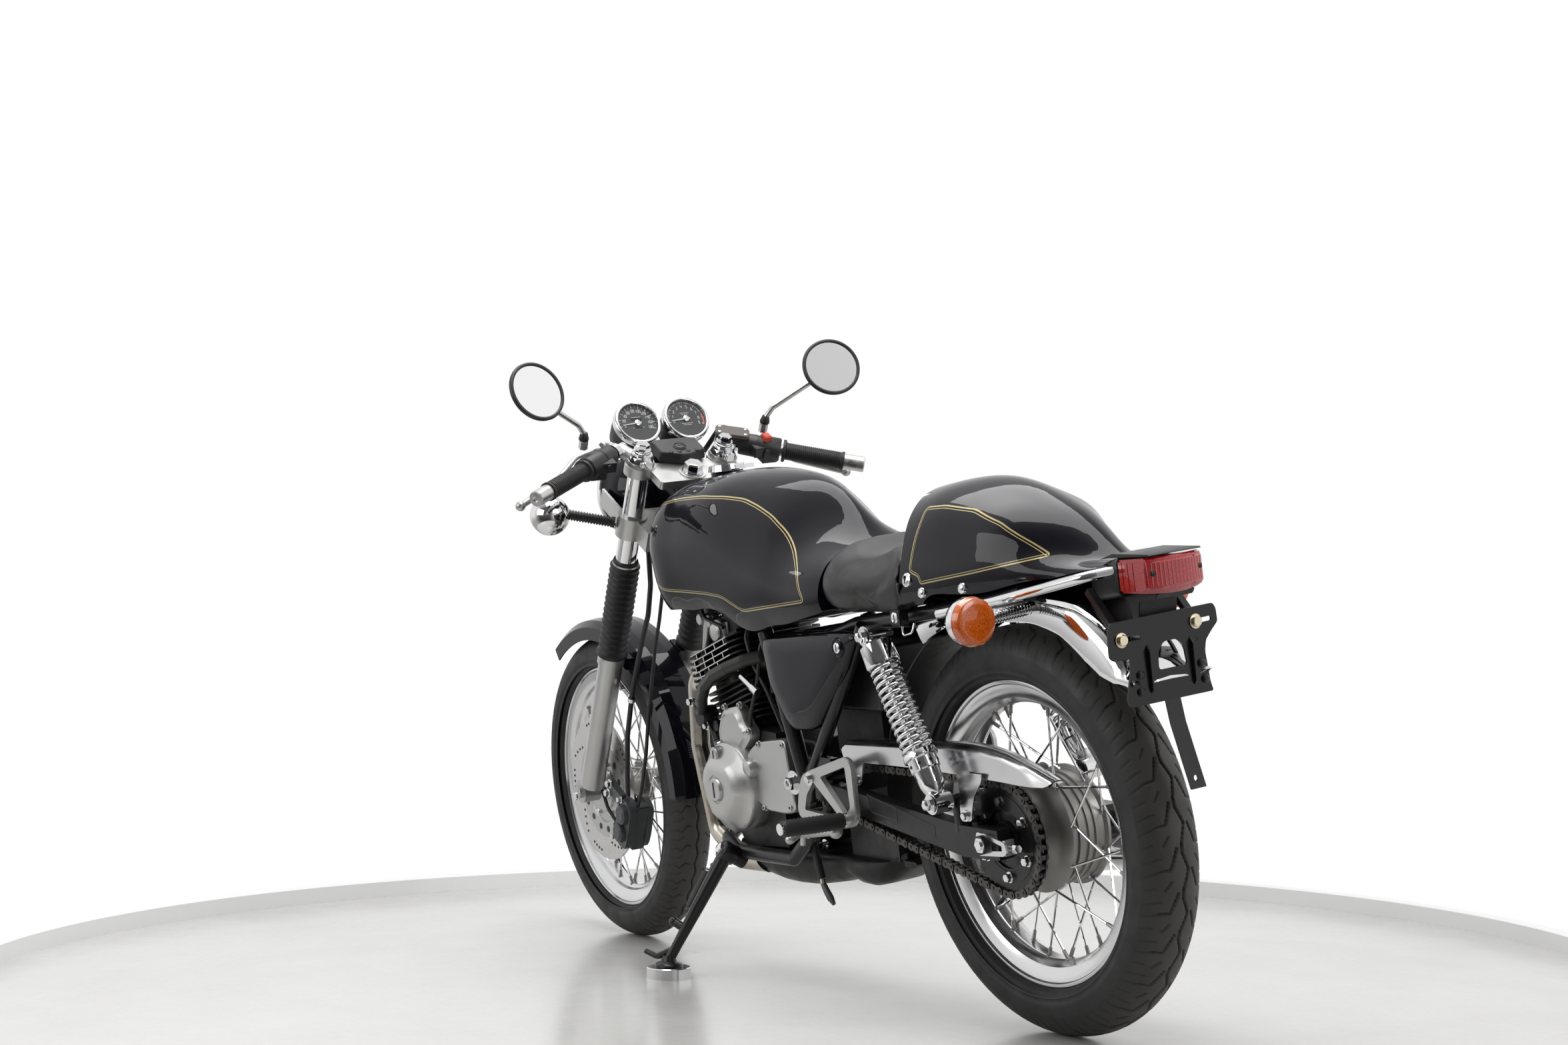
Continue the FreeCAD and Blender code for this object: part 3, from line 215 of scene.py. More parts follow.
def header_steel(at):
    """Steel tinted straw and brown by heat."""
    tint = at.noise(9.0, 3.0).spread(0.3, 0.7)
    return {"Base Color": tint.blend((0.58, 0.55, 0.49, 1), (0.42, 0.37, 0.30, 1)),
            "Roughness": at.noise(40.0, 4.0).spread(0.3, 0.7, 0.16, 0.34)}


def concrete(at):
    """Pale floor with soft patches and specks."""
    patches = at.noise(1.6, 6.0, 0.6).spread(0.32, 0.7)
    specks = at.noise(60.0, 5.0, 0.7).spread(0.35, 0.68)
    tone = patches * 0.75 + specks * 0.25
    return {"Base Color": tone.blend((0.47, 0.465, 0.45, 1), (0.58, 0.575, 0.56, 1)),
            "Roughness": at.noise(3.0, 7.0, 0.65).spread(0.3, 0.75, 0.13, 0.3)}


finish("black_paint", (0.0045, 0.0045, 0.008), 0.3, coat=0.6,
       **{"Coat Roughness": 0.012, "Specular IOR Level": 0.03})
finish("frame_black", (0.010, 0.010, 0.011), 0.3, coat=0.2, vary=grain(30.0, 0.24, 0.36),
       **{"Specular IOR Level": 0.3})
finish("engine_black", (0.014, 0.014, 0.0145), 0.4, vary=grain(40.0, 0.33, 0.5, 0.15, 500.0),
       **{"Specular IOR Level": 0.35})
finish("black_plastic", (0.014, 0.014, 0.015), 0.42, vary=grain(60.0, 0.36, 0.5, 0.2, 900.0, 0.0003))
finish("rubber", (0.012, 0.012, 0.0125), 0.5, vary=grain(50.0, 0.42, 0.6, 0.2, 700.0))
finish("tyre", (0.016, 0.016, 0.016), 0.55, vary=tyre_skin)
finish("seat_vinyl", (0.012, 0.012, 0.013), 0.4, vary=vinyl)
finish("chrome", (0.78, 0.78, 0.79), 0.05, 1.0, vary=grain(14.0, 0.025, 0.09))
finish("polished_alloy", (0.70, 0.70, 0.71), 0.2, 1.0, vary=grain(18.0, 0.14, 0.27))
finish("cast_alloy", (0.50, 0.50, 0.49), 0.36, 0.85, vary=grain(35.0, 0.28, 0.42, 0.12, 600.0, 0.0003))
finish("disc_steel", (0.62, 0.61, 0.60), 0.3, 1.0, vary=grain(90.0, 0.22, 0.4))
finish("chain_steel", (0.10, 0.095, 0.09), 0.36, 0.9, vary=grain(90.0, 0.26, 0.5))
finish("header_steel", (0.6, 0.52, 0.38), 0.25, 1.0, vary=header_steel)
finish("red_lens", (0.42, 0.006, 0.012), 0.12, coat=1.0,
       vary=lens((0.62, 0.010, 0.018, 1), (0.26, 0.003, 0.006, 1)))
finish("orange_lens", (0.7, 0.14, 0.01), 0.12, coat=1.0,
       vary=lens((0.78, 0.17, 0.008, 1), (0.5, 0.07, 0.003, 1)))
finish("gold_line", (0.50, 0.40, 0.17), 0.35, 0.35, coat=1.0)
finish("mirror_glass", (0.93, 0.93, 0.93), 0.0, 1.0)
finish("dial_face", (0.035, 0.036, 0.038), 0.5)
finish("dial_ink", (0.45, 0.45, 0.44), 0.5)
finish("red_ink", (0.52, 0.055, 0.03), 0.45)
finish("hub_grey", (0.30, 0.29, 0.275), 0.42, 0.8, vary=grain(30.0, 0.34, 0.5, 0.15, 500.0, 0.0003))
finish("lid_brown", (0.075, 0.062, 0.052), 0.45)
finish("clear_lens", (0.82, 0.84, 0.85), 0.08, coat=1.0)
finish("caliper_grey", (0.075, 0.078, 0.082), 0.42, 0.4, vary=grain(40.0, 0.36, 0.5, 0.2, 500.0))
finish("hose_grey", (0.085, 0.085, 0.08), 0.42, 0.35)
finish("brass", (0.78, 0.70, 0.52), 0.25, 1.0, vary=grain(60.0, 0.18, 0.34))

SOLIDS_IN = {
    "black_paint": "front_fender fuel_tank side_covers tail_cowl",
    "black_plastic": "brake_reservoir ignition_lock intake switchgear",
    "cast_alloy": "alternator_cover clip_on_bars clutch_cover footrests fork_sliders hand_levers "
                  "lower_clamp sprocket_cover top_clamp",
    "chain_steel": "drive_chain",
    "chrome": "bar_weights clocks filler_cap fork_caps fork_stanchions front_indicators grab_rail headlight "
              "mirrors rear_fender rear_indicators shock_absorbers silencer",
    "disc_steel": "front_brake_disc",
    "engine_black": "crankcase cylinder_barrel cylinder_head exhaust_collector",
    "frame_black": "frame_cradle frame_side_tubes frame_spine front_caliper plate_bracket rear_sprocket "
                   "seat_rails side_stand swingarm",
    "header_steel": "exhaust_pipes",
    "polished_alloy": "chain_guard front_wheel rear_wheel stand_puck",
    "red_lens": "tail_light",
    "rubber": "brake_hose fork_gaiters grips",
    "seat_vinyl": "seat",
    "tyre": "front_tyre rear_tyre",
}
for look, names in SOLIDS_IN.items():
    for name in names.split():
        NODES[name].data.materials.clear()
        NODES[name].data.materials.append(FINISHES[look])


# ------------------------------------------------------------------ shapes

ARC_STEP = 0.22


def unit(v):
    """A direction of length one."""
    return Vector(v).normalized()


def rounded(points, bend):
    """A path with its corners turned by arcs of radius bend."""
    pts = [Vector(p) for p in points]
    path = [pts[0]]
    for before, corner, after in zip(pts, pts[1:], pts[2:]):
        back, ahead = (before - corner).normalized(), (after - corner).normalized()
        half = back.angle(ahead) / 2
        reach = min(bend / tan(half), 0.48 * (before - corner).length, 0.48 * (after - corner).length)
        radius = reach * tan(half)
        centre = corner + (back + ahead).normalized() * (radius / sin(half))
        first, last = corner + back * reach - centre, corner + ahead * reach - centre
        turn = pi - 2 * half
        count = max(2, int(turn / ARC_STEP) + 1)
        axis = first.cross(last)
        for n in range(count + 1):
            path.append(centre + Matrix.Rotation(turn * n / count, 3, axis) @ first)
    path.append(pts[-1])
    return path


def rings_of(profile, sides):
    """Circles round the Y axis for a profile of (distance along it, radius)."""
    steps = [tau * n / sides for n in range(sides)]
    return [[(r * sin(a), d, r * cos(a)) for a in steps] for d, r in profile]


class Form:
    """Surfaces gathered in one local frame, in millimetres."""

    def __init__(self):
        self.verts = []
        self.faces = []

    def add(self, verts, faces):
        """Adds faces that are given by their places in verts."""
        start = len(self.verts)
        self.verts.extend(Vector(v) for v in verts)
        self.faces.extend([start + i for i in face] for face in faces)
        return self

    def skin(self, rings, loop=True, caps=True, around=False):
        """Faces between rows of points; loop closes each row, around joins the last row to the first."""
        n, count = len(rings[0]), len(rings)
        faces = []
        for i in range(count if around else count - 1):
            for k in range(n if loop else n - 1):
                a, b = i * n, (i + 1) % count * n
                faces.append((a + k, a + (k + 1) % n, b + (k + 1) % n, b + k))
        if caps and not around:
            faces += [tuple(reversed(range(n))), tuple((count - 1) * n + k for k in range(n))]
        return self.add([p for ring in rings for p in ring], faces)

    def lathe(self, profile, at=ORIGIN, axis=LEFT, sides=48, around=False):
        """profile is (distance along the axis, radius) from one end to the other."""
        turn = Vector(axis).to_track_quat("Z", "Y").to_matrix()
        steps = [tau * n / sides for n in range(sides)]
        rings = [[Vector(at) + turn @ Vector((max(r, 0.02) * cos(a), max(r, 0.02) * sin(a), d))
                  for a in steps] for d, r in profile]
        return self.skin(rings, around=around)

    def rod(self, start, end, radius, sides=24):
        """A straight round bar from one place to another."""
        along = Vector(end) - Vector(start)
        return self.lathe([(0, radius), (along.length, radius)], start, along, sides)

    def pipe(self, path, radius, sides=16):
        """A tube along a path; radius is one number or one for each point."""
        pts = [Vector(p) for p in path]
        sizes = radius if isinstance(radius, list) else [radius] * len(pts)
        heading = (pts[1] - pts[0]).normalized()
        side = heading.orthogonal().normalized()
        rings = []
        for n, p in enumerate(pts):
            ahead = (pts[min(n + 1, len(pts) - 1)] - pts[max(n - 1, 0)]).normalized()
            side = (side - ahead * side.dot(ahead)).normalized()
            up = ahead.cross(side)
            rings.append([p + (side * cos(a) + up * sin(a)) * sizes[n]
                          for a in (tau * k / sides for k in range(sides))])
        return self.skin(rings)

    def slab(self, outline, low, high, flat="xz"):
        """A prism: the outline lies in one plane of the frame and is thickened across it."""
        if flat == "yz":
            return self.skin([[(depth, *p) for p in outline] for depth in sorted((low, high))])
        return self.skin([[(p[0], depth, p[1]) for p in outline] for depth in sorted((low, high))])

    def box(self, corner, opposite):
        """A block between two opposite corners."""
        (x0, x1), (y0, y1), (z0, z1) = (sorted(ends) for ends in zip(corner, opposite))
        return self.slab([(x0, z0), (x1, z0), (x1, z1), (x0, z1)], y0, y1)

    def ball(self, at, radius):
        """A ball with its poles at the top and the bottom."""
        arc = [pi * n / 10 for n in range(11)]
        return self.lathe([(-radius * cos(a), radius * sin(a)) for a in arc], at, UP, 20)

    def bolt(self, at, axis, across=10, height=7, washer=None):
        """A hexagon head with a washer under it."""
        if washer:
            self.lathe([(0, washer), (1.8, washer)], at, axis, 20)
        base = Vector(at) + unit(axis) * (1.8 if washer else 0)
        r = across * 0.577
        return self.lathe([(0, r), (height - 1, r), (height, r * 0.86)], base, axis, 6)

    def moved(self, matrix):
        """The same surfaces carried by a matrix."""
        self.verts = [matrix @ v for v in self.verts]
        return self

    def plus(self, other):
        """Takes in the surfaces of another form."""
        return self.add(other.verts, other.faces)


def ring_of(count, start=0.0):
    """The turns that bring a shape to count places round the hub."""
    return [turned(radians(start) + tau * n / count) for n in range(count)]


def rounded_corners(points, bend, step):
    """A closed row of points with every corner swept round in the given number of steps."""
    made = []
    corners = [Vector(p) for p in points]
    for before, corner, after in zip(corners[-1:] + corners[:-1], corners, corners[1:] + corners[:1]):
        back, ahead = before - corner, after - corner
        reach = min(bend, 0.45 * back.length, 0.45 * ahead.length)
        first, last = corner + back.normalized() * reach, corner + ahead.normalized() * reach
        for k in range(step + 1):
            t = k / step
            made.append(first * (1 - t) ** 2 + corner * 2 * t * (1 - t) + last * t ** 2)
    return made


def rounded_outline(points, bend, step=4):
    """A closed flat outline with rounded corners."""
    return [tuple(p) for p in rounded_corners(points, bend, step)]


def dress(obj, look, body, replaces):
    """Gives an object its finish, its body and the solids that it stands for."""
    obj.data.materials.append(FINISHES[look])
    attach(obj, body)
    if replaces:
        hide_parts(*replaces)
    return obj


def piece(name, form, look, body="root", replaces=(), place=None, bevel=0.0, smooth=38):
    """Turns a form into an object that moves with a body. The form is in the body's frame, or in place's."""
    bm = mesh_of(form, FRAME_OF.get(body, BIKE) if place is None else place, bevel)
    obj = plain_object(name, bm)
    obj.data.shade_smooth()
    obj.data.set_sharp_from_angle(angle=radians(smooth))
    return dress(obj, look, body, replaces)


def once(side, solid):
    """The left one of a pair stands for the solid that holds both."""
    return [solid] if side > 0 else []


def plain_object(name, bm):
    """Puts a worked mesh into the scene as an object."""
    mesh = bpy.data.meshes.new(name)
    bm.to_mesh(mesh)
    bm.free()
    return linked(name, mesh)


def linked(name, data):
    """An object for some data, put into the scene."""
    obj = bpy.data.objects.new(name, data)
    bpy.context.scene.collection.objects.link(obj)
    return obj


def mesh_of(form, place, bevel):
    """A form as a mesh in the model's metres, its sharp edges broken if bevel is given."""
    bm = bmesh.new()
    verts = [bm.verts.new(place @ v) for v in form.verts]
    for face in form.faces:
        bm.faces.new([verts[i] for i in face])
    bmesh.ops.recalc_face_normals(bm, faces=bm.faces)
    if bevel:
        edges = [e for e in bm.edges if e.is_manifold and e.calc_face_angle(0) > 0.7]
        bmesh.ops.bevel(bm, geom=edges, offset=bevel * MM, segments=2, affect="EDGES", clamp_overlap=True)
    return bm


def repeat_tree():
    """Geometry nodes that set one object at every point, turned by the point's own rotation."""
    tree = bpy.data.node_groups.new("repeat", "GeometryNodeTree")
    sockets = tree.interface
    sockets.new_socket("Points", in_out="INPUT", socket_type="NodeSocketGeometry")
    for name, kind in (("Unit", "Object"), ("Finish", "Material")):
        sockets.new_socket(name, in_out="INPUT", socket_type="NodeSocket" + kind)
    sockets.new_socket("Result", in_out="OUTPUT", socket_type="NodeSocketGeometry")
    kinds = {"start": "NodeGroupInput", "unit": "GeometryNodeObjectInfo",
             "turn": "GeometryNodeInputNamedAttribute", "place": "GeometryNodeInstanceOnPoints",
             "real": "GeometryNodeRealizeInstances", "finish": "GeometryNodeSetMaterial",
             "end": "NodeGroupOutput"}
    nodes = {key: tree.nodes.new(kind) for key, kind in kinds.items()}
    nodes["turn"].data_type = "QUATERNION"
    nodes["turn"].inputs["Name"].default_value = "turn"
    for a, out, b, into in (("start", "Points", "place", "Points"), ("start", "Unit", "unit", "Object"),
                            ("unit", "Geometry", "place", "Instance"),
                            ("turn", "Attribute", "place", "Rotation"),
                            ("place", "Instances", "real", "Geometry"),
                            ("real", "Geometry", "finish", "Geometry"),
                            ("start", "Finish", "finish", "Material"),
                            ("finish", "Geometry", "end", "Result")):
        tree.links.new(nodes[a].outputs[out], nodes[b].inputs[into])
    return tree


REPEAT = repeat_tree()


def repeated(name, form, places, look, body="root", replaces=()):
    """Many copies of one form, one for each matrix in places."""
    place = FRAME_OF.get(body, BIKE)
    one = piece(name + "_unit", form, look, body, place=Matrix.Scale(MM, 4))
    mesh = bpy.data.meshes.new(name)
    mesh.from_pydata([(place @ m).translation for m in places], [], [])
    turns = mesh.attributes.new("turn", "QUATERNION", "POINT")
    for n, m in enumerate(places):
        turns.data[n].value = (place @ m).decompose()[1]
    points = linked(name + "_points", mesh)
    maker = points.modifiers.new("repeat", "NODES")
    maker.node_group = REPEAT
    for item in REPEAT.interface.items_tree:
        if item.name == "Unit":
            maker[item.identifier] = one
        if item.name == "Finish":
            maker[item.identifier] = FINISHES[look]
    points.update_tag()
    obj = linked(name, made_of(points))
    bpy.data.objects.remove(points)
    bpy.data.objects.remove(one)
    obj.data.materials.clear()
    return dress(obj, look, body, replaces)


def made_of(obj):
    """The mesh that an object's modifiers give."""
    return bpy.data.meshes.new_from_object(obj.evaluated_get(bpy.context.evaluated_depsgraph_get()))


# ------------------------------------------------------------------ tyres and wheels

def groove_depth(s, t, grooves, pitch):
    """How deep the tread is cut at s across and t along, from strokes (s0, t0, s1, t1, half width, depth)."""
    depth = np.zeros_like(s)
    for s0, t0, s1, t1, half, deep in grooves:
        for wrap in (-pitch, 0.0, pitch):
            ds, dt = s1 - s0, t1 - t0
            k = ((s - s0) * ds + (t - t0 - wrap) * dt) / (ds * ds + dt * dt)
            k = np.clip(k, 0, 1)
            away = np.hypot(s - s0 - k * ds, t - t0 - wrap - k * dt)
            depth = np.maximum(depth, deep * np.clip((half + 0.7 - away) / 1.4, 0, 1))
    return depth


def tyre(name, radius, half, rim_half, grooves, tiles, steps, body, replaces):
    """The tread is cut into the crown; the flanks are plain with two fine raised rings."""
    around, across = tiles * steps, 66
    pitch = tau * radius / tiles
    reach = radians(72)
    core = radius - half
    angles = np.linspace(-reach, reach, across)
    theta = np.arange(around) * tau / around
    s, t = np.meshgrid(angles * half, theta * radius)
    cut = groove_depth(s, t % pitch, grooves, pitch)
    r = core + (half - cut) * np.cos(angles)
    y = half * np.sin(s / half)
    x, z = r * np.sin(theta)[:, None], r * np.cos(theta)[:, None]
    form = Form()
    points = np.stack([x, y, z], -1)
    form.skin([[Vector(p) for p in row] for row in points], loop=False, caps=False, around=True)
    edge_y, edge_r = half * sin(reach), core + half * cos(reach)
    flank = [(edge_y - 0.2, edge_r + 0.6), (half, core), (half - 0.6, core - 6), (half - 1.2, core - 7),
             (half - 2, core - 13), (half - 1.4, core - 14), (half - 2.4, core - 16), (half - 6, 258),
             (half - 9, 250), (half - 9, 248), (rim_half - 1, 244), (rim_half - 3, 236)]
    form.skin(rings_of(flank, 180), caps=False)
    form.skin(rings_of([(-d, r) for d, r in flank], 180), caps=False)
    obj = piece(name, form, "tyre", body, replaces, smooth=50)
    # The crown's dust, times a painted shade that darkens the grooves by their depth.
    dust_and_groove_shade = np.clip(1.25 - np.abs(s) / half * 0.9, 0, 1) * np.clip(1 - cut / 1.2, 0, 1)
    values = np.zeros(len(obj.data.vertices), np.float32)
    values[:dust_and_groove_shade.size] = dust_and_groove_shade.ravel()
    obj.data.attributes.new("dust_and_groove_shade", "FLOAT", "POINT").data.foreach_set("value", values)


def rim(name, half, body, replaces):
    """A polished rim with a shallow well and rolled edges."""
    profile = [(half, 243), (half + 0.5, 241), (half, 238), (half - 4, 236), (half - 7, 222),
               (half - 12, 214), (half - 18, 211), (11, 206.5), (9, 204), (0, 203.5)]
    outer = [(half - 3, 243), (half - 5, 236), (20, 226), (0, 224)]
    loop = profile + [(-d, r) for d, r in reversed(profile[:-1])]
    loop += [(-d, r) for d, r in outer] + [(d, r) for d, r in reversed(outer[:-1])]
    piece(name, Form().lathe(loop, sides=180, around=True), "polished_alloy", body, replaces, smooth=28)


SPOKE_PAIRS = 9
SPOKE_REACH = 205


def spoke_set(name, flanges, hole, skew, body):
    """Wire spokes from both flanges; each pair on a flange leans a different way."""
    runs = []
    for flange, side in flanges:
        for n in range(SPOKE_PAIRS):
            for lean in (1, -1):
                base = tau * (n + (0.25 if side < 0 else 0.0)) / SPOKE_PAIRS + lean * 0.17
                tip = base + lean * radians(skew) * 0.5
                root = base - lean * radians(skew) * 0.5
                start = Vector((hole * sin(root), flange + lean * 2.5, hole * cos(root)))
                end = Vector((SPOKE_REACH * sin(tip), side * 7, SPOKE_REACH * cos(tip)))
                runs.append((start, end))
    places = []
    for start, end in runs:
        turn = (start - end).to_track_quat("Z", "Y").to_matrix().to_4x4()
        places.append(Matrix.Translation(end) @ turn)
    length = (runs[0][0] - runs[0][1]).length
    wire = Form().lathe([(-2, 2.0), (length, 2.0)], axis=UP, sides=8)
    wire.lathe([(length - 3, 3.4), (length + 1, 3.4)], axis=UP, sides=8)
    repeated(name + "_spokes", wire, places, "chrome", body)
    nipple = Form().lathe([(-1, 5.5), (1.5, 5.0), (2, 3.3), (15, 3.1), (17, 2.2)], axis=UP, sides=8)
    repeated(name + "_nipples", nipple, places, "hub_grey", body)


def both_halves(strokes, offset):
    """The strokes of one half of a tread, and the same on the other half, moved along by an offset."""
    return [(side * a, b + move, side * c, d + move, half, deep)
            for side, move in ((1, 0), (-1, offset)) for a, b, c, d, half, deep in strokes]


REAR_GROOVES = both_halves(((66, -10, 40, 0, 1.5, 2.6), (40, 0, 25, 2, 1.7, 3.4), (25, 2, 13, 34, 1.7, 3.4),
                            (66, 12, 46, 19, 1.4, 2.2), (46, 19, 38, 20, 1.2, 1.6),
                            (66, 36, 48, 42, 1.4, 2.2), (34, 38, 24, 52, 1.4, 2.6)), 34)
REAR_GROOVES += [(-5, 0, 5, 26, 1.7, 3.6), (5, 26, 4, 40, 1.7, 3.6), (4, 40, -5, 68.4, 1.7, 3.6)]
FRONT_GROOVES = both_halves(((54, 4, 40, 12, 1.2, 2.2), (40, 12, 30, 8, 1.2, 2.4), (30, 8, 20, 22, 1.2, 2.6),
                             (50, 28, 36, 30, 1.0, 2.0), (36, 30, 27, 38, 1.0, 2.0),
                             (20, 22, 14, 20, 1.1, 2.4)), 20)
FRONT_GROOVES += [(-2.5, 0, 2.5, 20, 1.4, 3.0), (2.5, 20, -2.5, 40.45, 1.4, 3.0)]


def wheels():
    """Tyres, rims, spokes, hubs and the rear valve."""
    tyre("rear_tyre_tread", REAR_RADIUS, 56, 38, REAR_GROOVES, 30, 34, "rear_wheel_body", ["rear_tyre"])
    tyre("front_tyre_tread", FRONT_RADIUS, 46, 31, FRONT_GROOVES, 48, 26, "front_wheel_body", ["front_tyre"])
    rim("rear_rim", 38, "rear_wheel_body", ["rear_wheel"])
    rim("front_rim", 31, "front_wheel_body", ["front_wheel"])
    spoke_set("rear_wheel", ((22, 1), (-48, -1)), 86, 34, "rear_wheel_body")
    spoke_set("front_wheel", ((36, 1), (-36, -1)), 40, 76, "front_wheel_body")

    drum = [(-62, 8.7), (-62, 50), (-60, 84), (-54, 90), (-50, 96), (-46, 96), (-43, 89), (-30, 87),
            (-29, 90), (-26, 90), (-25, 87), (-16, 87), (-15, 90), (-12, 90), (-11, 87), (2, 87), (3, 90),
            (6, 90), (7, 87), (16, 88), (19, 96), (24, 96), (27, 90), (32, 78), (44, 64), (56, 60), (60, 38),
            (62, 8.7)]
    piece("rear_hub", Form().lathe(drum, sides=96), "hub_grey", "rear_wheel_body")
    barrel = [(-50, 8.7), (-50, 24), (-44, 26), (-40, 46), (-33, 46), (-30, 27), (30, 27), (33, 46), (40, 46),
              (44, 30), (50, 28), (50, 8.7)]
    piece("front_hub", Form().lathe(barrel, sides=64), "hub_grey", "front_wheel_body")
    valve = Form().rod((0, 0, 203), (0, 0, 176), 3.4, 10)
    piece("valve_rear", valve.moved(turned(2.3)), "rubber", "rear_wheel_body")


def brake_disc():
    """A ring on a carrier; the ring's slots and the carrier's holes are painted shade, dark discs on their
    faces.
    """
    ring = Form().lathe([(51, 100), (56, 100), (56, 146), (51, 146)], sides=120, around=True)
    piece("disc_ring", ring, "disc_steel", "front_wheel_body", ["front_brake_disc"])
    carrier = Form().lathe([(50, 9), (50, 101), (56.5, 101), (56.5, 70), (53, 68), (53, 48), (57, 46),
                            (57, 9)], sides=96, around=True)
    piece("disc_carrier", carrier, "cast_alloy", "front_wheel_body")
    # Dark discs on the ring's face paint the shade seen in its slots.
    slot = Form().lathe([(0, 2.6), (0.5, 2.6)], (0, 56, 0), sides=12)
    holes = []
    for turn in ring_of(5):
        for k in range(4):
            spot = turned(radians(4 + 6 * k)) @ shift(0, 0.2, 112 + 7 * k)
            holes.append(turn @ spot)
            holes.append(turn @ turned(radians(36 + 5 * k)) @ shift(0, 0.2, 134))
    repeated("disc_slots", slot, holes, "engine_black", "front_wheel_body")
    # Dark discs on the carrier's face paint the shade seen in its holes.
    bore = Form().lathe([(0, 6.5), (0.4, 6.5)], (0, 56.6, 0), sides=20)
    small = [turn @ shift(0, 0, 84) for turn in ring_of(15)]
    repeated("carrier_holes", bore, small, "engine_black", "front_wheel_body")
    heads = [turn @ shift(0, 53, 58) for turn in ring_of(6)]
    repeated("disc_bolts", Form().bolt(ORIGIN, LEFT, 10, 6), heads, "chrome", "front_wheel_body")


# ------------------------------------------------------------------ chain, sprocket, shocks

GEARBOX_SHAFT = (575, 393)
CHAIN_LINE = 79
LINK_PITCH = 15.875


def chain():
    """Roller links along the line round both sprockets."""
    rear, front = Vector((0, REAR_RADIUS)), Vector(GEARBOX_SHAFT)
    big, small = 88.0, 30.0
    span = (front - rear).length
    heading = atan2(front.y - rear.y, front.x - rear.x)
    tilt = asin((big - small) / span)
    path = []
    for centre, r, start, sweep in ((front, small, heading + pi / 2 - tilt, -(pi - 2 * tilt)),
                                    (rear, big, heading - pi / 2 + tilt, -(pi + 2 * tilt))):
        path += [centre + Vector((cos(start + sweep * n / 60), sin(start + sweep * n / 60))) * r
                 for n in range(61)]
    path.append(path[0])
    lengths = [(b - a).length for a, b in zip(path, path[1:])]
    count = round(sum(lengths) / LINK_PITCH / 2) * 2
    pitch = sum(lengths) / count

    def along(distance):
        for a, b, step in zip(path, path[1:], lengths):
            if distance <= step:
                return a.lerp(b, distance / max(step, 1e-6))
            distance -= step
        return path[-1]

    joints = [along(pitch * n) for n in range(count)]
    inner, outer, pins = [], [], []
    for n, a in enumerate(joints):
        b = joints[(n + 1) % count]
        turn = turned(-atan2(b.y - a.y, b.x - a.x))
        (inner if n % 2 else outer).append(shift(a.x, CHAIN_LINE, a.y) @ turn)
        pins.append(shift(a.x, CHAIN_LINE, a.y))
    bend = [(6.6 * sin(pi * n / 8), 6.6 * cos(pi * n / 8)) for n in range(9)]
    plate = [(-x, z) for x, z in bend] + [(pitch / 2, -4.6)]
    plate += [(pitch + x, -z) for x, z in bend] + [(pitch / 2, 4.6)]
    near = Form().slab(plate, 4.4, 6.0).slab(plate, -6.0, -4.4)
    far = Form().slab(plate, 6.4, 8.0).slab(plate, -8.0, -6.4)
    repeated("chain_inner_links", near, inner, "chain_steel", replaces=["drive_chain"])
    repeated("chain_outer_links", far, outer, "chain_steel")
    pin = Form().rod((0, -9.2, 0), (0, 9.2, 0), 2.6, 10).rod((0, -4.4, 0), (0, 4.4, 0), 5.0, 14)
    repeated("chain_pins", pin, pins, "chain_steel")


def sprockets():
    """The toothed black ring and its dish on the rear hub, and the small sprocket at the engine."""
    teeth = 38
    edge = []
    for n in range(teeth):
        for part, r in ((0.0, 84.5), (0.22, 86.5), (0.42, 92.5), (0.58, 92.5), (0.78, 86.5)):
            a = tau * (n + part) / teeth
            edge.append((r * cos(a), r * sin(a)))
    count = len(edge)
    inside = [(47 * cos(tau * n / count), 47 * sin(tau * n / count)) for n in range(count)]
    ring = Form()
    rows = [[(p[0], y, p[1]) for p in line] for line, y in
            ((edge, 76.5), (edge, 81.5), (inside, 81.5), (inside, 76.5))]
    ring.skin(rows, around=True, caps=False)
    piece("sprocket_teeth", ring, "frame_black", "rear_wheel_body", ["rear_sprocket"])
    dish = Form().lathe([(64, 9), (64, 52), (76.3, 60), (76.3, 70), (82.2, 70), (82.2, 52), (78, 47),
                         (78, 30), (84, 28), (84, 9)], sides=72, around=True)
    piece("sprocket_dish", dish, "frame_black", "rear_wheel_body")
    heads = [turn @ shift(0, 82.2, 60) for turn in ring_of(6)]
    nut = Form().bolt(ORIGIN, LEFT, 13, 8, 9)
    repeated("sprocket_bolts", nut, heads, "chrome", "rear_wheel_body")
    # The dish's lightening holes are painted shade: dark discs on its face.
    lights = [turn @ shift(0, 78.2, 38) for turn in ring_of(6, start=30)]
    hole = Form().lathe([(0, 7), (0.4, 7)])
    repeated("sprocket_holes", hole, lights, "engine_black", "rear_wheel_body")
    teeth_small = []
    for n in range(15):
        for part, r in ((0.0, 26.0), (0.35, 33.5), (0.65, 33.5)):
            a = tau * (n + part) / 15
            teeth_small.append((GEARBOX_SHAFT[0] + r * cos(a), GEARBOX_SHAFT[1] + r * sin(a)))
    piece("gearbox_sprocket", Form().slab(teeth_small, 75, 83), "chain_steel")


def coil(at, axis, radius, wire, turns, length, sides=10):
    """A spring with closed ends."""
    turn = Vector(axis).to_track_quat("Z", "Y").to_matrix()
    path = []
    steps = int(turns * 20)
    for n in range(steps + 1):
        t = n / steps
        a = tau * turns * t
        rise = length * min(max((t * turns - 0.8) / (turns - 1.6), 0), 1)
        rise += wire * 1.9 * (min(t * turns, 0.8) + max(t * turns - turns + 0.8, 0))
        path.append(Vector(at) + turn @ Vector((radius * cos(a), radius * sin(a), rise)))
    return Form().pipe(path, wire, sides)


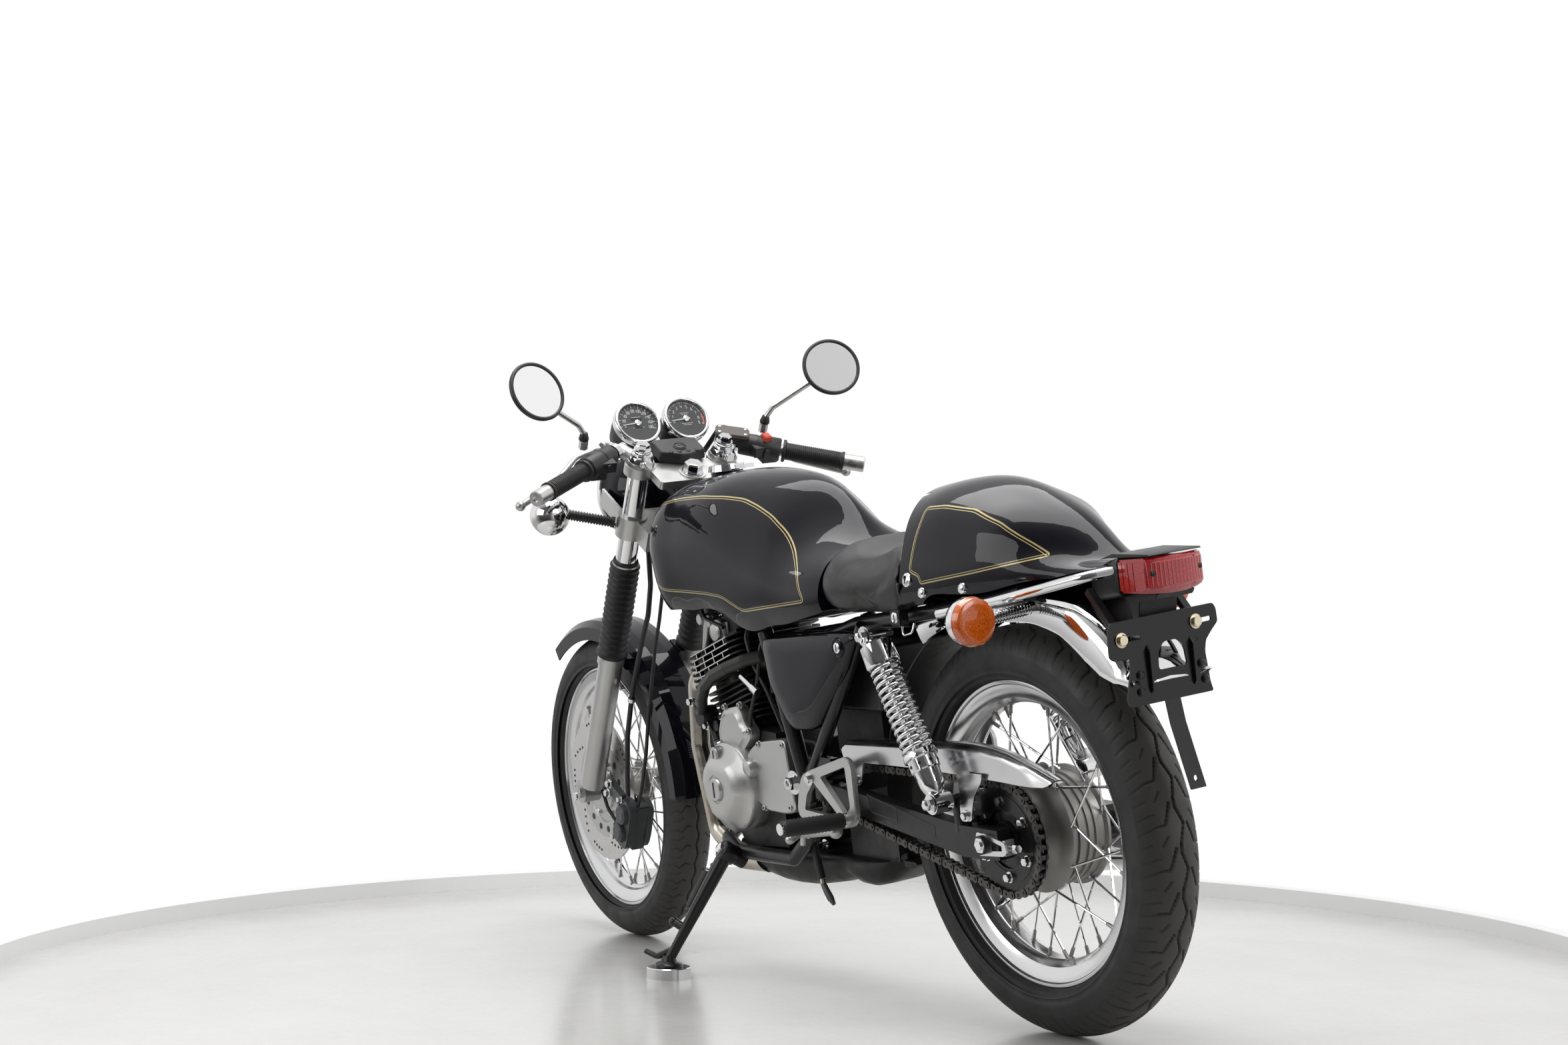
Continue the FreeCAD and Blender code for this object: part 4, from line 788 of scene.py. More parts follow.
def shocks():
    """Twin shock absorbers: chrome spring and top cup, an adjusting collar with painted shade for its holes,
    and rubber eyes.
    """
    for side, tag in SIDES:
        top, foot = Vector((203, 150 * side, 655)), Vector((70, 150 * side, 393))
        down = (foot - top).normalized()
        length = (foot - top).length
        body = Form()
        body.lathe([(14, 9), (14, 22), (18, 27.5), (52, 28.5), (55, 27), (56, 12)], top, down, 48)
        body.lathe([(length - 86, 12), (length - 86, 26.5), (length - 80, 28.5), (length - 76, 28.5),
                    (length - 74, 24.5), (length - 56, 24.5), (length - 54, 22), (length - 30, 20),
                    (length - 18, 16), (length - 10, 9)], top, down, 48)
        body.lathe([(30, 9.5), (length - 60, 9.5)], top, down, 24)
        for end in (top, foot):
            body.lathe([(-16, 11), (-16, 17), (16, 17), (16, 11)], end, LEFT, 32, around=True)
        piece("shock_body_" + tag, body, "chrome", replaces=once(side, "shock_absorbers"))
        piece("shock_spring_" + tag, coil(top + down * 50, down, 23.6, 3.3, 15.4, length - 136), "chrome")
        rubber = Form()
        for end in (top, foot):
            rubber.lathe([(-17.5, 6), (-17.5, 12.5), (17.5, 12.5), (17.5, 6)], end, LEFT, 28, around=True)
        piece("shock_rubber_" + tag, rubber, "rubber")
        # Dark discs round the collar paint the shade in its holes.
        dark = Form()
        base = top + down * (length - 65)
        for n in range(8):
            out = Matrix.Rotation(tau * n / 8, 3, down) @ down.orthogonal().normalized()
            dark.lathe([(24.2, 2.9), (25, 2.9)], base, out, 12)
        piece("collar_holes_" + tag, dark, "engine_black")
        pins = Form()
        for end, low, high in ((top, 112, 176), (foot, 134, 172)):
            pins.rod((end.x, low * side, end.z), (end.x, high * side, end.z), 6, 20)
            face, out = (end.x, 167.5 * side, end.z), (0, side, 0)
            pins.lathe([(0, 13.5), (2, 13.5)], face, out, 28)
            pins.lathe([(2, 9.6), (9, 9.6), (11, 8.4), (13, 5.5)], face, out, 6)
        piece("shock_pins_" + tag, pins, "chrome", smooth=30)


# ------------------------------------------------------------------ cockpit

def fork_leg(side):
    """A point on the middle line of one fork tube, in the fork's frame."""
    return Vector((48, 87 * side, 0))


CLOCK_FACING = Vector((-0.530, 0, 0.848))
STROKES = {"0": ((0, 0, 1, 0), (1, 0, 1, 2), (1, 2, 0, 2), (0, 2, 0, 0)),
           "1": ((0.6, 0, 0.6, 2),),
           "2": ((0, 2, 1, 2), (1, 2, 1, 1), (1, 1, 0, 1), (0, 1, 0, 0), (0, 0, 1, 0)),
           "3": ((0, 2, 1, 2), (1, 2, 1, 0), (1, 0, 0, 0), (0.2, 1, 1, 1)),
           "4": ((0, 2, 0, 1), (0, 1, 1, 1), (1, 2, 1, 0)),
           "5": ((1, 2, 0, 2), (0, 2, 0, 1), (0, 1, 1, 1), (1, 1, 1, 0), (1, 0, 0, 0)),
           "6": ((1, 2, 0, 2), (0, 2, 0, 0), (0, 0, 1, 0), (1, 0, 1, 1), (1, 1, 0, 1)),
           "7": ((0, 2, 1, 2), (1, 2, 0.5, 0)),
           "8": ((0, 0, 1, 0), (1, 0, 1, 2), (1, 2, 0, 2), (0, 2, 0, 0), (0, 1, 1, 1)),
           "9": ((0, 0, 1, 0), (1, 0, 1, 2), (1, 2, 0, 2), (0, 2, 0, 1), (0, 1, 1, 1))}


def dial_frame(at, facing):
    """X to the rider's right, Y up the dial, Z out of the glass."""
    z = facing.normalized()
    x = Vector((0, -1, 0))
    y = z.cross(x)
    m = Matrix((x, y, z)).transposed().to_4x4()
    m.translation = at
    return m


def stroke(form, start, end, half, lift):
    """One flat painted line on a dial."""
    a, b = Vector(start), Vector(end)
    side = (b - a).normalized().orthogonal() * half
    form.add([(p.x, p.y, lift) for p in (a + side, b + side, b - side, a - side)], [(0, 3, 2, 1)])


def number_marks(form, text, centre, tall, half, lift):
    """A number drawn with strokes round its centre."""
    wide = tall * 0.45
    left = centre[0] - (len(text) * wide * 1.5 - wide * 0.5) / 2
    for n, digit in enumerate(text):
        for x0, y0, x1, y1 in STROKES[digit]:
            stroke(form, (left + n * wide * 1.5 + x0 * wide, centre[1] + (y0 - 1) * tall / 2),
                   (left + n * wide * 1.5 + x1 * wide, centre[1] + (y1 - 1) * tall / 2), half, lift)


def clock(tag, side, top_number, step, labels, red_from):
    """One instrument: rubber cup, chrome bezel, dark dial with marks, needle and hub."""
    at = dial_frame(Vector((145.5, 52 * side, 1110)), CLOCK_FACING) @ Matrix.Scale(1.09, 4)

    def part(name, form, look, replaces=(), smooth=38):
        piece(f"clock_{name}_{tag}", form.moved(at), look, "steering", replaces, smooth=smooth)

    cup = Form().lathe([(-66, 22), (-64, 27), (-56, 32), (-30, 38), (-6, 41), (0, 41.5)], axis=UP, sides=72)
    part("cup", cup, "rubber", once(side, "clocks"))
    bezel = [(-7, 41), (-7, 43.5), (0, 43.8), (4, 43.2), (6.5, 41.5), (7.4, 39.5), (6.6, 37.6), (3, 36.6),
             (0, 36.4), (0, 40)]
    part("bezel", Form().lathe(bezel, axis=UP, sides=96, around=True), "chrome", smooth=50)
    part("dial", Form().lathe([(-3, 37), (1.2, 37)], axis=UP, sides=72), "dial_face")
    ink, red = Form(), Form()
    first, last = radians(188), radians(-22)
    marks = labels * step
    for n in range(marks + 1):
        a = first + (last - first) * n / marks
        out = Vector((cos(a), sin(a)))
        big = n % step == 0
        stroke(ink, out * (30.5 if big else 32), out * 35, 0.65 if big else 0.35, 1.5)
        if big:
            number_marks(ink, str(top_number * (n // step) // labels), out * 25, 5.2, 0.45, 1.5)
    for row, wide in ((12, 9), (9, 6), (-9, 11), (-12, 8)):
        stroke(ink, (-wide, row), (wide, row), 0.45, 1.5)
    if red_from:
        arc = [last + (first - last) * (1 - red_from) * n / 24 for n in range(24, -1, -1)]
        for a, b in zip(arc, arc[1:]):
            stroke(red, (33.4 * cos(a), 33.4 * sin(a)), (33.4 * cos(b), 33.4 * sin(b)), 1.3, 1.4)
        part("red", red, "red_ink")
    part("ink", ink, "dial_ink")
    hand = Form().add([(8, -1.5, 2.6), (8, 1.5, 2.6), (-29, 0.7, 2.6), (-29, -0.7, 2.6)], [(0, 1, 2, 3)])
    hand.moved(turned(radians(4), "Z"))
    part("hand", hand, "dial_ink")
    part("hub", Form().lathe([(1.2, 5.4), (4.0, 5.4), (4.6, 4)], axis=UP, sides=28), "chrome")
    if side > 0:
        drum = Form().box((-10, 6, 1.2), (10, 11, 1.7)).box((-8, -12, 1.2), (8, -8, 1.7))
        piece("odometer", drum.moved(at), "engine_black", body="steering")


def lock_and_cover():
    """The angular cover behind the clocks, with its key switch and warning lamps."""
    outline = rounded_outline([(46, -48), (30, -8), (30, 8), (46, 48), (90, 48), (98, 38), (98, -38),
                               (90, -48)], 4)
    top = [(64 + (u - 64) * 0.95, y * 0.95) for u, y in outline]
    rows = [[(u, y, level) for u, y in line]
            for line, level in ((outline, 1079), (outline, 1092), (top, 1099))]
    piece("ignition_cover", Form().skin(rows), "black_plastic", "steering", ["ignition_lock"], bevel=1.2)
    barrel = Form().lathe([(1098, 11.5), (1098, 13), (1100.6, 13), (1101.2, 12.2), (1100.4, 11.5)],
                          (62, 0, 0), UP, 48, around=True)
    piece("key_ring", barrel, "caliper_grey", "steering")
    centre = Form().lathe([(1098, 9), (1101, 9), (1101.8, 7.5), (1101.8, 0)], (62, 0, 0), UP, 40)
    piece("key_switch", centre, "black_plastic", "steering")
    # A dark bar paints the shade in the key slot.
    piece("key_slot", Form().box((61.2, -5.5, 1101.4), (62.8, 5.5, 1102.2)), "engine_black", "steering")
    lamps = Form()
    for n in range(4):
        lamps.lathe([(1098, 4.2), (1100, 4.2), (1100.6, 3.4)], (44, -27 + 18 * n, 0), UP, 20)
    piece("warning_lamps", lamps, "engine_black", "steering")


def clamps_and_caps():
    """The steering stem's nut, the stepped fork caps and the clamps' bolts."""
    nut = Form().lathe([(1078, 20), (1080, 20.6), (1081.5, 20)], axis=UP, sides=48)
    nut.lathe([(1081, 17.6), (1095, 17.6), (1098, 15), (1098.6, 9)], axis=UP, sides=6)
    piece("stem_nut", nut, "chrome", "steering", smooth=30)
    caps = Form()
    for side in (1, -1):
        at = fork_leg(side)
        caps.lathe([(1078, 25.5), (1084, 25), (1094, 21.5), (1099, 19), (1100, 17)], at, UP, 48)
        for step in range(3):
            low = 1099.5 + 4 * step
            caps.lathe([(low, 15.4), (low + 0.8, 17 - 0.4 * step), (low + 2.8, 17 - 0.4 * step),
                        (low + 3.6, 15.4)], at, UP, 48)
        caps.lathe([(1111, 12.9), (1120, 12.9), (1122, 11.2), (1122.2, 7)], at, UP, 6)
        caps.box((at[0] - 33, at[1] - 7, 1083), (at[0] - 18, at[1] + 7, 1097))
    piece("fork_cap_steps", caps, "chrome", "steering", ["fork_caps"], smooth=30)
    pinch = Form()
    for side in (1, -1):
        for level in (936, 956):
            pinch.bolt((78, 66 * side, level), (0, -side, 0), 10, 7, 8)
        pinch.bolt((76, 62 * side, 1069), (0, -side, 0), 10, 7, 8)
        pinch.lathe([(0, 5.6), (4, 5.6), (4.6, 5), (4.6, 3), (2.6, 2.8), (2.6, 0)], (21, 87 * side + 8, 1090),
                    (-0.3, 1, 0), 20)
    piece("pinch_bolts", pinch, "chrome", "steering", smooth=30)


def bar_point(y):
    """The middle of the bars at a distance out from the machine's middle plane."""
    return Vector((94.7 - 0.627 * (abs(y) - 110), y, 1085))


def bar_way(side):
    """Outwards along one bar."""
    return (bar_point(300 * side) - bar_point(200 * side)).normalized()


def grips_and_weights():
    """Ribbed grips and the round weights at the bars' ends."""
    grips, rings = [], []
    for side in (1, -1):
        along = bar_way(side)
        start = bar_point(210 * side)
        length = (bar_point(312 * side) - start).length
        profile = [(0, 12), (0, 21), (3, 22), (6, 21), (7, 16.5)]
        d = 9
        while d < length - 8:
            profile += [(d, 16.9), (d + 2.2, 16.9), (d + 2.6, 15.9), (d + 3.6, 15.9)]
            d += 4
        profile += [(length - 6, 16.9), (length - 4, 18), (length, 18), (length, 12)]
        grips.append(Form().lathe(profile, start, along, 40))
        end = bar_point(312 * side)
        weight = [(-1, 13), (0, 15), (38, 15), (40, 13.4), (40.4, 6), (38, 3.4)]
        rings.append(Form().lathe(weight, end, along, 40))
    piece("ribbed_grips", grips[0].plus(grips[1]), "rubber", "steering", ["grips"])
    piece("bar_end_weights", rings[0].plus(rings[1]), "disc_steel", "steering", ["bar_weights"])


def clip_ons():
    """Each bar with its arm and the clamp round the fork leg."""
    form = Form()
    for side in (1, -1):
        form.lathe([(1063, 26.5), (1066, 27), (1082, 27), (1086, 25)], fork_leg(side), UP, 48)
        form.rod((54, 90 * side, 1083), bar_point(108 * side), 13.5)
        form.rod(bar_point(98 * side), bar_point(330 * side), 11)
    piece("clip_ons", form, "cast_alloy", "steering", ["clip_on_bars"], smooth=40)


def switches():
    """Switch housings, the clamps beside them and the small buttons."""
    boxes, marks, silver = Form(), Form(), Form()
    for side in (1, -1):
        along = bar_way(side)
        at = bar_point(138 * side)
        boxes.lathe([(0, 15), (0, 19), (2, 21), (34, 22), (35, 20.5), (37, 20.5), (38, 23), (78, 23),
                     (81, 21), (81, 15)], at, along, 40)
        boxes.box((at.x - 52, 182 * side - 16, 1064), (at.x - 8, 182 * side + 16, 1088))
        centre = bar_point(168 * side)
        boxes.box((centre.x - 30, centre.y - 22, 1076), (centre.x - 8, centre.y + 20, 1096))
        marks.rod((centre.x - 34, centre.y - 6, 1088), (centre.x - 29, centre.y - 6, 1088), 6, 20)
        silver.lathe([(0, 15), (0, 19), (13, 19), (13, 15)], bar_point(122 * side), along, 40, around=True)
        silver.bolt(bar_point(126 * side) + Vector((-16, 0, -4)), (-1, 0, 0), 8, 8)
    boxes.pipe(rounded([(96, 150, 1100), (80, 152, 1104), (52, 158, 1096), (46, 160, 1086)], 8), 4.0, 12)
    piece("switch_housings", boxes, "black_plastic", "steering", ["switchgear"], bevel=1.6)
    piece("bar_clamps", silver, "polished_alloy", "steering")
    piece("switch_buttons", marks, "rubber", "steering")
    spot = bar_point(-178)
    knob = Form().skin(stacked(((-15, -8), (3, -8), (3, 8), (-15, 8)),
                               ((1104, 1), (1113, 1), (1115.5, 0.86))))
    knob.moved(shift(spot.x, spot.y, 0))
    piece("stop_switch", knob, "red_ink", "steering", bevel=0.8)


def levers():
    """Ball-ended levers with their pivot blocks."""
    for side, tag in SIDES:
        root, tip = bar_point(128 * side), Vector((4, 346 * side, 1040))
        path = [(root.x + 26, root.y, 1078), (root.x + 44, root.y + 14 * side, 1074),
                (root.x + 34, root.y + 60 * side, 1064), (tip.x + 52, tip.y - 90 * side, 1049), tip]
        points = rounded(path, 30)
        blade = Form().pipe(points, [6.5 - 2.0 * sin(pi * n / (len(points) - 1)) for n in range(len(points))])
        blade.ball(tip, 9.5)
        blade.lathe([(-13, 13), (13, 13)], (root.x + 26, root.y, 1079), UP, 32)
        blade.box((root.x - 2, root.y - 12, 1070), (root.x + 30, root.y + 12, 1088))
        blade.bolt((root.x + 26, root.y, 1092), UP, 10, 5)
        piece("lever_" + tag, blade, "cast_alloy", "steering", once(side, "hand_levers"), bevel=1.0)


def stacked(outline, levels):
    """Rows of one outline at several heights; levels are (height, size)."""
    return [[(x * size, y * size, z) for x, y in outline] for z, size in levels]


def reservoir():
    """The fluid reservoir with its dark lid on a silver clamp."""
    turn = shift(84, -120, 0) @ turned(radians(-27), "Z")
    corners = rounded_outline([(-16, -34), (18, -34), (18, 28), (-16, 28)], 7)
    lid = rounded_outline([(-18, -36), (20, -36), (20, 30), (-18, 30)], 8)
    tank = Form().skin(stacked(corners, ((1087, 0.9), (1090, 1), (1103, 1))))
    piece("reservoir_body", tank.moved(turn), "black_plastic", "steering", ["brake_reservoir"], bevel=0.8)
    top = Form().skin(stacked(lid, ((1103.5, 1), (1108, 1), (1110.5, 0.94))))
    piece("reservoir_lid", top.moved(turn), "lid_brown", "steering")
    screws = Form()
    for x in (-10, 12):
        for y in (-28, 22):
            screws.lathe([(1110, 3.4), (1111.6, 3.2), (1112.2, 2.2)], (x, y, 0), UP, 16)
    piece("reservoir_screws", screws.moved(turn), "chrome", "steering")


MIRROR_FACING = Vector((-0.62, -0.20, 0.72))


def mirrors():
    """Round mirrors with black backs on cranked stalks."""
    for side, tag in SIDES:
        head = Vector((68.5, 310 * side, 1238.7))
        facing = Vector((MIRROR_FACING.x, MIRROR_FACING.y * side, MIRROR_FACING.z)).normalized()
        back = Form().lathe([(-19, 4), (-18.5, 16), (-16, 30), (-11, 43), (-5, 52), (-1, 55.5), (0, 55.5)],
                            head, facing, 96)
        piece("mirror_back_" + tag, back, "black_plastic", "steering", once(side, "mirrors"), smooth=60)
        ring = Form().lathe([(-4, 54), (-4, 56.4), (0, 57.4), (3.4, 56.6), (4.6, 54), (4.2, 51.6), (2, 50.2),
                             (0, 50)], head, facing, 96, around=True)
        piece("mirror_rim_" + tag, ring, "black_plastic", "steering", smooth=60)
        glass = Form().lathe([(0.2, 52), (1.6, 52)], head, facing, 96)
        piece("mirror_glass_" + tag, glass, "mirror_glass", "steering")
        base, elbow = Vector((86, 192 * side, 1100)), Vector((88, 206 * side, 1150))
        stalk = Form().pipe(rounded([base, (86, 194 * side, 1132), elbow, head + facing * -17], 16), 5.2, 20)
        stalk.ball(head + facing * -17, 10)
        stalk.lathe([(0, 8.6), (17, 8.6)], (base.x, base.y, 1101), UP, 6)
        stalk.lathe([(16, 8.2), (19, 8.2)], (base.x, base.y, 1101), UP, 28)
        piece("mirror_stalk_" + tag, stalk, "disc_steel", "steering", smooth=35)
        boot = Form().lathe([(0, 8.5), (2, 9.6), (5, 9.4), (15, 6.8), (16, 5.6)], (86, 192.6 * side, 1119),
                            (0, 0.07 * side, 1), 28)
        piece("mirror_boot_" + tag, boot, "rubber", "steering")


LAMP_WAY = Vector((0.866, 0, -0.5))


def front_lamp():
    """A black bowl with a chrome rim and clear glass in front."""
    at = Vector((176, 0, 940))
    bowl = [(-96, 20), (-92, 38), (-78, 58), (-54, 76), (-26, 86), (0, 89), (4, 92), (16, 92), (22, 89),
            (24, 85)]
    piece("lamp_bowl", Form().lathe(bowl, at, LAMP_WAY, 96), "black_paint", "steering", ["headlight"],
          smooth=60)
    rim_ring = [(2, 90), (3, 93), (14, 93), (21, 90), (25, 85), (24, 80), (18, 80)]
    piece("lamp_rim", Form().lathe(rim_ring, at, LAMP_WAY, 96, around=True), "chrome", "steering", smooth=60)
    face = [(22, 84), (24, 82), (26.6, 60), (27.6, 30), (28, 0)]
    piece("lamp_glass", Form().lathe(face, at, LAMP_WAY, 96), "clear_lens", "steering", smooth=60)


def indicators():
    """Round lamps with chrome shells, orange lenses and ribbed stalks."""
    for side, tag in SIDES:
        lamps = (("front", (109, 230 * side, 949), LAMP_WAY, "steering", (60, 116 * side, 948)),
                 ("rear", (-127, 190 * side, 686), (-1, 0, 0), "root", (-127, 74 * side, 690)))
        for name, at, way, body, root in lamps:
            at, root = Vector(at), Vector(root)
            shell = Form().lathe([(-36, 6), (-35, 14), (-30, 24), (-20, 33), (-8, 37.4), (0, 38), (3, 38),
                                  (3, 35)], at, way, 72)
            label = f"{name}_indicator_{tag}"
            base = once(side, name + "_indicators")
            piece(label + "_shell", shell, "chrome", body, base, smooth=60)
            lens_shape = [(3, 37.6), (5, 36.8), (7, 36.4), (15, 35), (17, 33), (17.8, 24), (18, 0)]
            piece(label + "_lens", Form().lathe(lens_shape, at, way, 72), "orange_lens", body, smooth=60)
            reach = at - Vector((0, 30 * side, 0)) - root
            ribs = [(0, 10.5), (8, 10.5)]
            d = 8.0
            while d < reach.length - 10:
                ribs += [(d, 8.4), (d + 2, 8.4), (d + 2.4, 10.2), (d + 5, 10.2)]
                d += 5.4
            ribs += [(reach.length, 9)]
            arm = Form().lathe(ribs, root, reach, 28)
            piece(label + "_stalk", arm, "rubber" if name == "front" else "chrome", body, smooth=40)


def gaiters():
    """Ribbed gaiters with a band at each end."""
    gaiter = Form()
    for side in (1, -1):
        profile = [(656, 21), (656, 30.5), (664, 30.5), (668, 27)]
        level = 668.0
        while level < 858:
            profile += [(level + 3, 24.6), (level + 6, 24.2), (level + 9.5, 29), (level + 11, 29.4),
                        (level + 12.6, 28)]
            level += 12.7
        profile += [(862, 24), (869, 24), (869, 21)]
        gaiter.lathe(profile, fork_leg(side), UP, 56)
    piece("gaiters", gaiter, "rubber", "steering", ["fork_gaiters"], smooth=50)
    bands = Form()
    for side in (1, -1):
        bands.lathe([(858, 24.4), (858, 25.6), (864, 25.6), (864, 24.4)], fork_leg(side), UP, 48, around=True)
        bands.lathe([(640, 24), (640, 26.5), (654, 27.5), (657, 26)], fork_leg(side), UP, 48)
    piece("gaiter_bands", bands, "cast_alloy", "steering")


def brake_caliper():
    """A two-piston caliper over the disc, with its bolts."""
    caliper = Form()
    outline = rounded_outline([(-124, 330), (-120, 300), (-92, 290), (-66, 304), (-60, 350), (-66, 392),
                               (-92, 402), (-120, 392)], 12)
    caliper.slab(outline, 66, 86)
    caliper.slab(outline, 34, 50)
    for z in (325, 367):
        caliper.lathe([(84, 20), (94, 19), (97, 16), (97, 8)], (-92, 0, z), LEFT, 40)
    caliper.box((-120, 44, 296), (-100, 72, 398))
    caliper.box((-74, 74, 372), (-14, 88, 400))
    piece("caliper_body", caliper, "caliper_grey", "steering", ["front_caliper"], bevel=2.5)
    pins = Form()
    for z in (302, 390):
        pins.bolt((-72, 86, z), LEFT, 10, 7, 8)
    for z in (374, 396):
        pins.bolt((-24, 88, z), LEFT, 12, 8, 9)
    piece("caliper_bolts", pins, "chrome", "steering")


def hose_and_cable():
    """The brake hose, the speedometer cable and the clip that holds them."""
    line = [(118, -134, 1096), (136, -126, 1092), (132, -100, 1050), (102, -50, 1010), (102, 10, 950),
            (76, 30, 890), (-20, 64, 850), (-46, 74, 800), (-40, 76, 720), (-34, 76, 620), (-42, 76, 520),
            (-66, 76, 440), (-84, 78, 404)]
    piece("hose", Form().pipe(rounded(line, 22), 5, 16), "rubber", "steering", ["brake_hose"])
    cable = [(-58, 58, 860), (-70, 62, 800), (-78, 66, 740), (-96, 68, 600), (-110, 68, 520), (-115, 68, 440),
             (-108, 68, 372), (-80, 68, 330), (-40, 68, 308), (4, 68, 312), (40, 67, 332)]
    piece("speedo_cable", Form().pipe(rounded(cable, 30), 3.6, 14), "rubber", "steering")
    clip = Form()
    clip.lathe([(-4, 6), (4, 6), (4, 7.2), (-4, 7.2)], (-36, 76, 600), UP, 24, around=True)
    clip.box((-34, 74, 595), (22, 76, 605))
    clip.bolt((8, 76, 600), LEFT, 9, 5)
    clip.lathe([(-2, 8.6), (2, 8.6)], (48, 122, 322.8), LEFT, 24)
    piece("hose_clip", clip, "chrome", "steering")


# ------------------------------------------------------------------ engine and its surroundings

CYLINDER = shift(758, 0, 368) @ turned(radians(16))


def carve(obj, form):
    """Cuts a form's closed shapes out of a piece."""
    tool = plain_object("tool", mesh_of(form, BIKE, 0))
    cut = obj.modifiers.new("cut", "BOOLEAN")
    cut.object = tool
    cut.solver = "EXACT"
    bake(obj)
    obj.data.shade_smooth()
    obj.data.set_sharp_from_angle(angle=radians(35))
    bpy.data.objects.remove(tool)


def socket_bolts(name, spots):
    """Round bolt heads with a dark hexagon painted on each as the shade in its socket; each spot is (place,
    way out).
    """
    heads, holes = Form(), Form()
    for at, out in spots:
        heads.lathe([(0, 6.7), (1.2, 6.7), (1.4, 5.2), (6, 5.2), (7, 4.2)], at, out, 20)
        holes.lathe([(7.05, 2.6), (7.3, 2.6)], at, out, 6)
    piece(name, heads, "cast_alloy", smooth=40)
    piece(name + "_sockets", holes, "engine_black")


def shrunk(outline, middle, size):
    """An outline drawn in towards its middle."""
    centre = Vector(middle)
    return [tuple(centre + (Vector(p) - centre) * size) for p in outline]


def stepped_cover(outline, middle, levels, bend):
    """Rows of a cover that stands out in steps, drawn in and rounded at each level."""
    return [[(x, y, z) for x, z in rounded_outline(shrunk(outline, middle, size), bend)]
            for y, size in levels]


def drive_covers():
    """The kidney-shaped cover above the alternator and the flat one over the gearbox sprocket."""
    kidney = [(785, 506), (735, 514), (722, 502), (716, 482), (699, 470), (702, 454), (738, 425), (756, 416),
              (790, 430), (812, 444), (814, 462), (798, 492)]
    cover = Form().skin(stepped_cover(kidney, (757, 466),
                                      ((86, 1), (102, 1), (106, 0.97), (108, 0.80), (112, 0.70)), 10))
    plate = [(724, 420), (700, 440), (671, 452), (582, 461), (579, 426), (576, 397), (572, 367), (570, 333),
             (603, 326), (668, 328), (704, 346), (722, 378)]
    cover.skin(stepped_cover(plate, (640, 392), ((84, 1), (104, 1), (108, 0.985), (110, 0.95)), 14))
    piece("drive_covers", cover, "cast_alloy", replaces=["sprocket_cover"], smooth=30)
    spots = [((x, 103, z), LEFT) for x, z in ((780, 510), (727, 515), (705, 468), (743, 424), (797, 448))]
    spots += [((x, 106, z), LEFT) for x, z in ((671, 447), (676, 334), (590, 450), (586, 340))]
    socket_bolts("cover_bolts", spots)


def alternator_dome():
    """The round dome with three scoops and its two plugs, with dark bars painted as the shade in the plugs'
    slots.
    """
    profile = [(84, 82), (118, 82), (122, 80), (125, 76), (130, 70), (138, 62), (146, 54), (149, 46),
               (150, 34), (150, 26), (148, 25), (148, 22), (153, 21), (155, 19), (155, 0)]
    x, z = 771, 367
    rings = []
    sides = 96
    for d, r in profile:
        ring = []
        for n in range(sides):
            a = tau * n / sides
            scoop = 0.0
            if 44 < r < 78:
                scoop = 6.0 * max(0.0, cos(3 * a + 0.5)) ** 0.6 * sin(pi * (r - 44) / 34)
            ring.append((x + max(r, 0.1) * sin(a), d - scoop, z + max(r, 0.1) * cos(a)))
        rings.append(ring)
    dome = Form().skin(rings)
    dome.lathe([(84, 18), (116, 18), (124, 14), (127, 6), (127, 0)], (700, 0, 404), LEFT, 32)
    dome.lathe([(126, 14), (140, 13), (141, 11), (142, 11), (142, 0)], (780, 0, 429), LEFT, 32)
    piece("alternator_dome", dome, "cast_alloy", replaces=["alternator_cover"], smooth=35)
    # Dark bars paint the shade in the plugs' slots.
    dark = Form().box((769, 154, 353), (773, 155.6, 381)).box((778.5, 141, 422), (781.5, 142.5, 436))
    piece("plug_slots", dark, "engine_black")


def engine_bolts():
    """The clutch cover's bolts, the swingarm's pivot nut and the engine's mounting bolts."""
    spots = []
    for n in range(10):
        a = tau * n / 10 + 0.2
        spots.append(((660 + 86 * sin(a), -118, 360 + 86 * cos(a)), (0, -1, 0)))
    socket_bolts("clutch_bolts", spots)
    pivot = (552, 0, 388)
    wash = Form().lathe([(114, 21), (119, 21)], pivot, LEFT, 36)
    wash.lathe([(119, 15), (121, 15), (121, 12.5), (130, 12.5), (132, 11), (132, 6), (129, 5.5)], pivot, LEFT,
               6)
    piece("pivot_nut", wash, "chrome", smooth=30)
    mounts = Form()
    for x, z in ((820, 270), (838, 470), (612, 476), (560, 268)):
        mounts.bolt((x, 64, z), LEFT, 13, 9, 10)
    piece("mount_bolts", mounts, "chrome", smooth=30)


def round_box(half_x, half_y, corner, level):
    """A level oblong outline with rounded corners, round the origin."""
    pts = rounded_outline([(-half_x, -half_y), (half_x, -half_y), (half_x, half_y), (-half_x, half_y)],
                          corner * 1.3, 6)
    return [(x, y, level) for x, y in pts]


FIN_FOOT = 202
FIN_PITCH = 11


def cylinder_fins():
    """Bright machined edges on the black fins, with the short ribs that join them."""
    edges = Form()
    for n in range(6):
        low = FIN_FOOT + FIN_PITCH * n + 0.7
        outer = [round_box(100.35, 98.35, 26, low), round_box(100.35, 98.35, 26, low + 1.6)]
        inner = [round_box(99, 97, 26, low + 1.6), round_box(99, 97, 26, low)]
        edges.skin(outer + inner, caps=False, around=True)
    for n, offset in enumerate((-58, -22, -48, -12, -62)):
        base = FIN_FOOT + FIN_PITCH * n + 3
        for k in range(4):
            x = offset + 36 * k
            if abs(x) < 80:
                for side in (1, -1):
                    edges.box((x, 90 * side, base - 0.2), (x + 2.4, 98.3 * side, base + 8.2))
    piece("fin_edges", edges, "polished_alloy", place=BIKE @ CYLINDER)


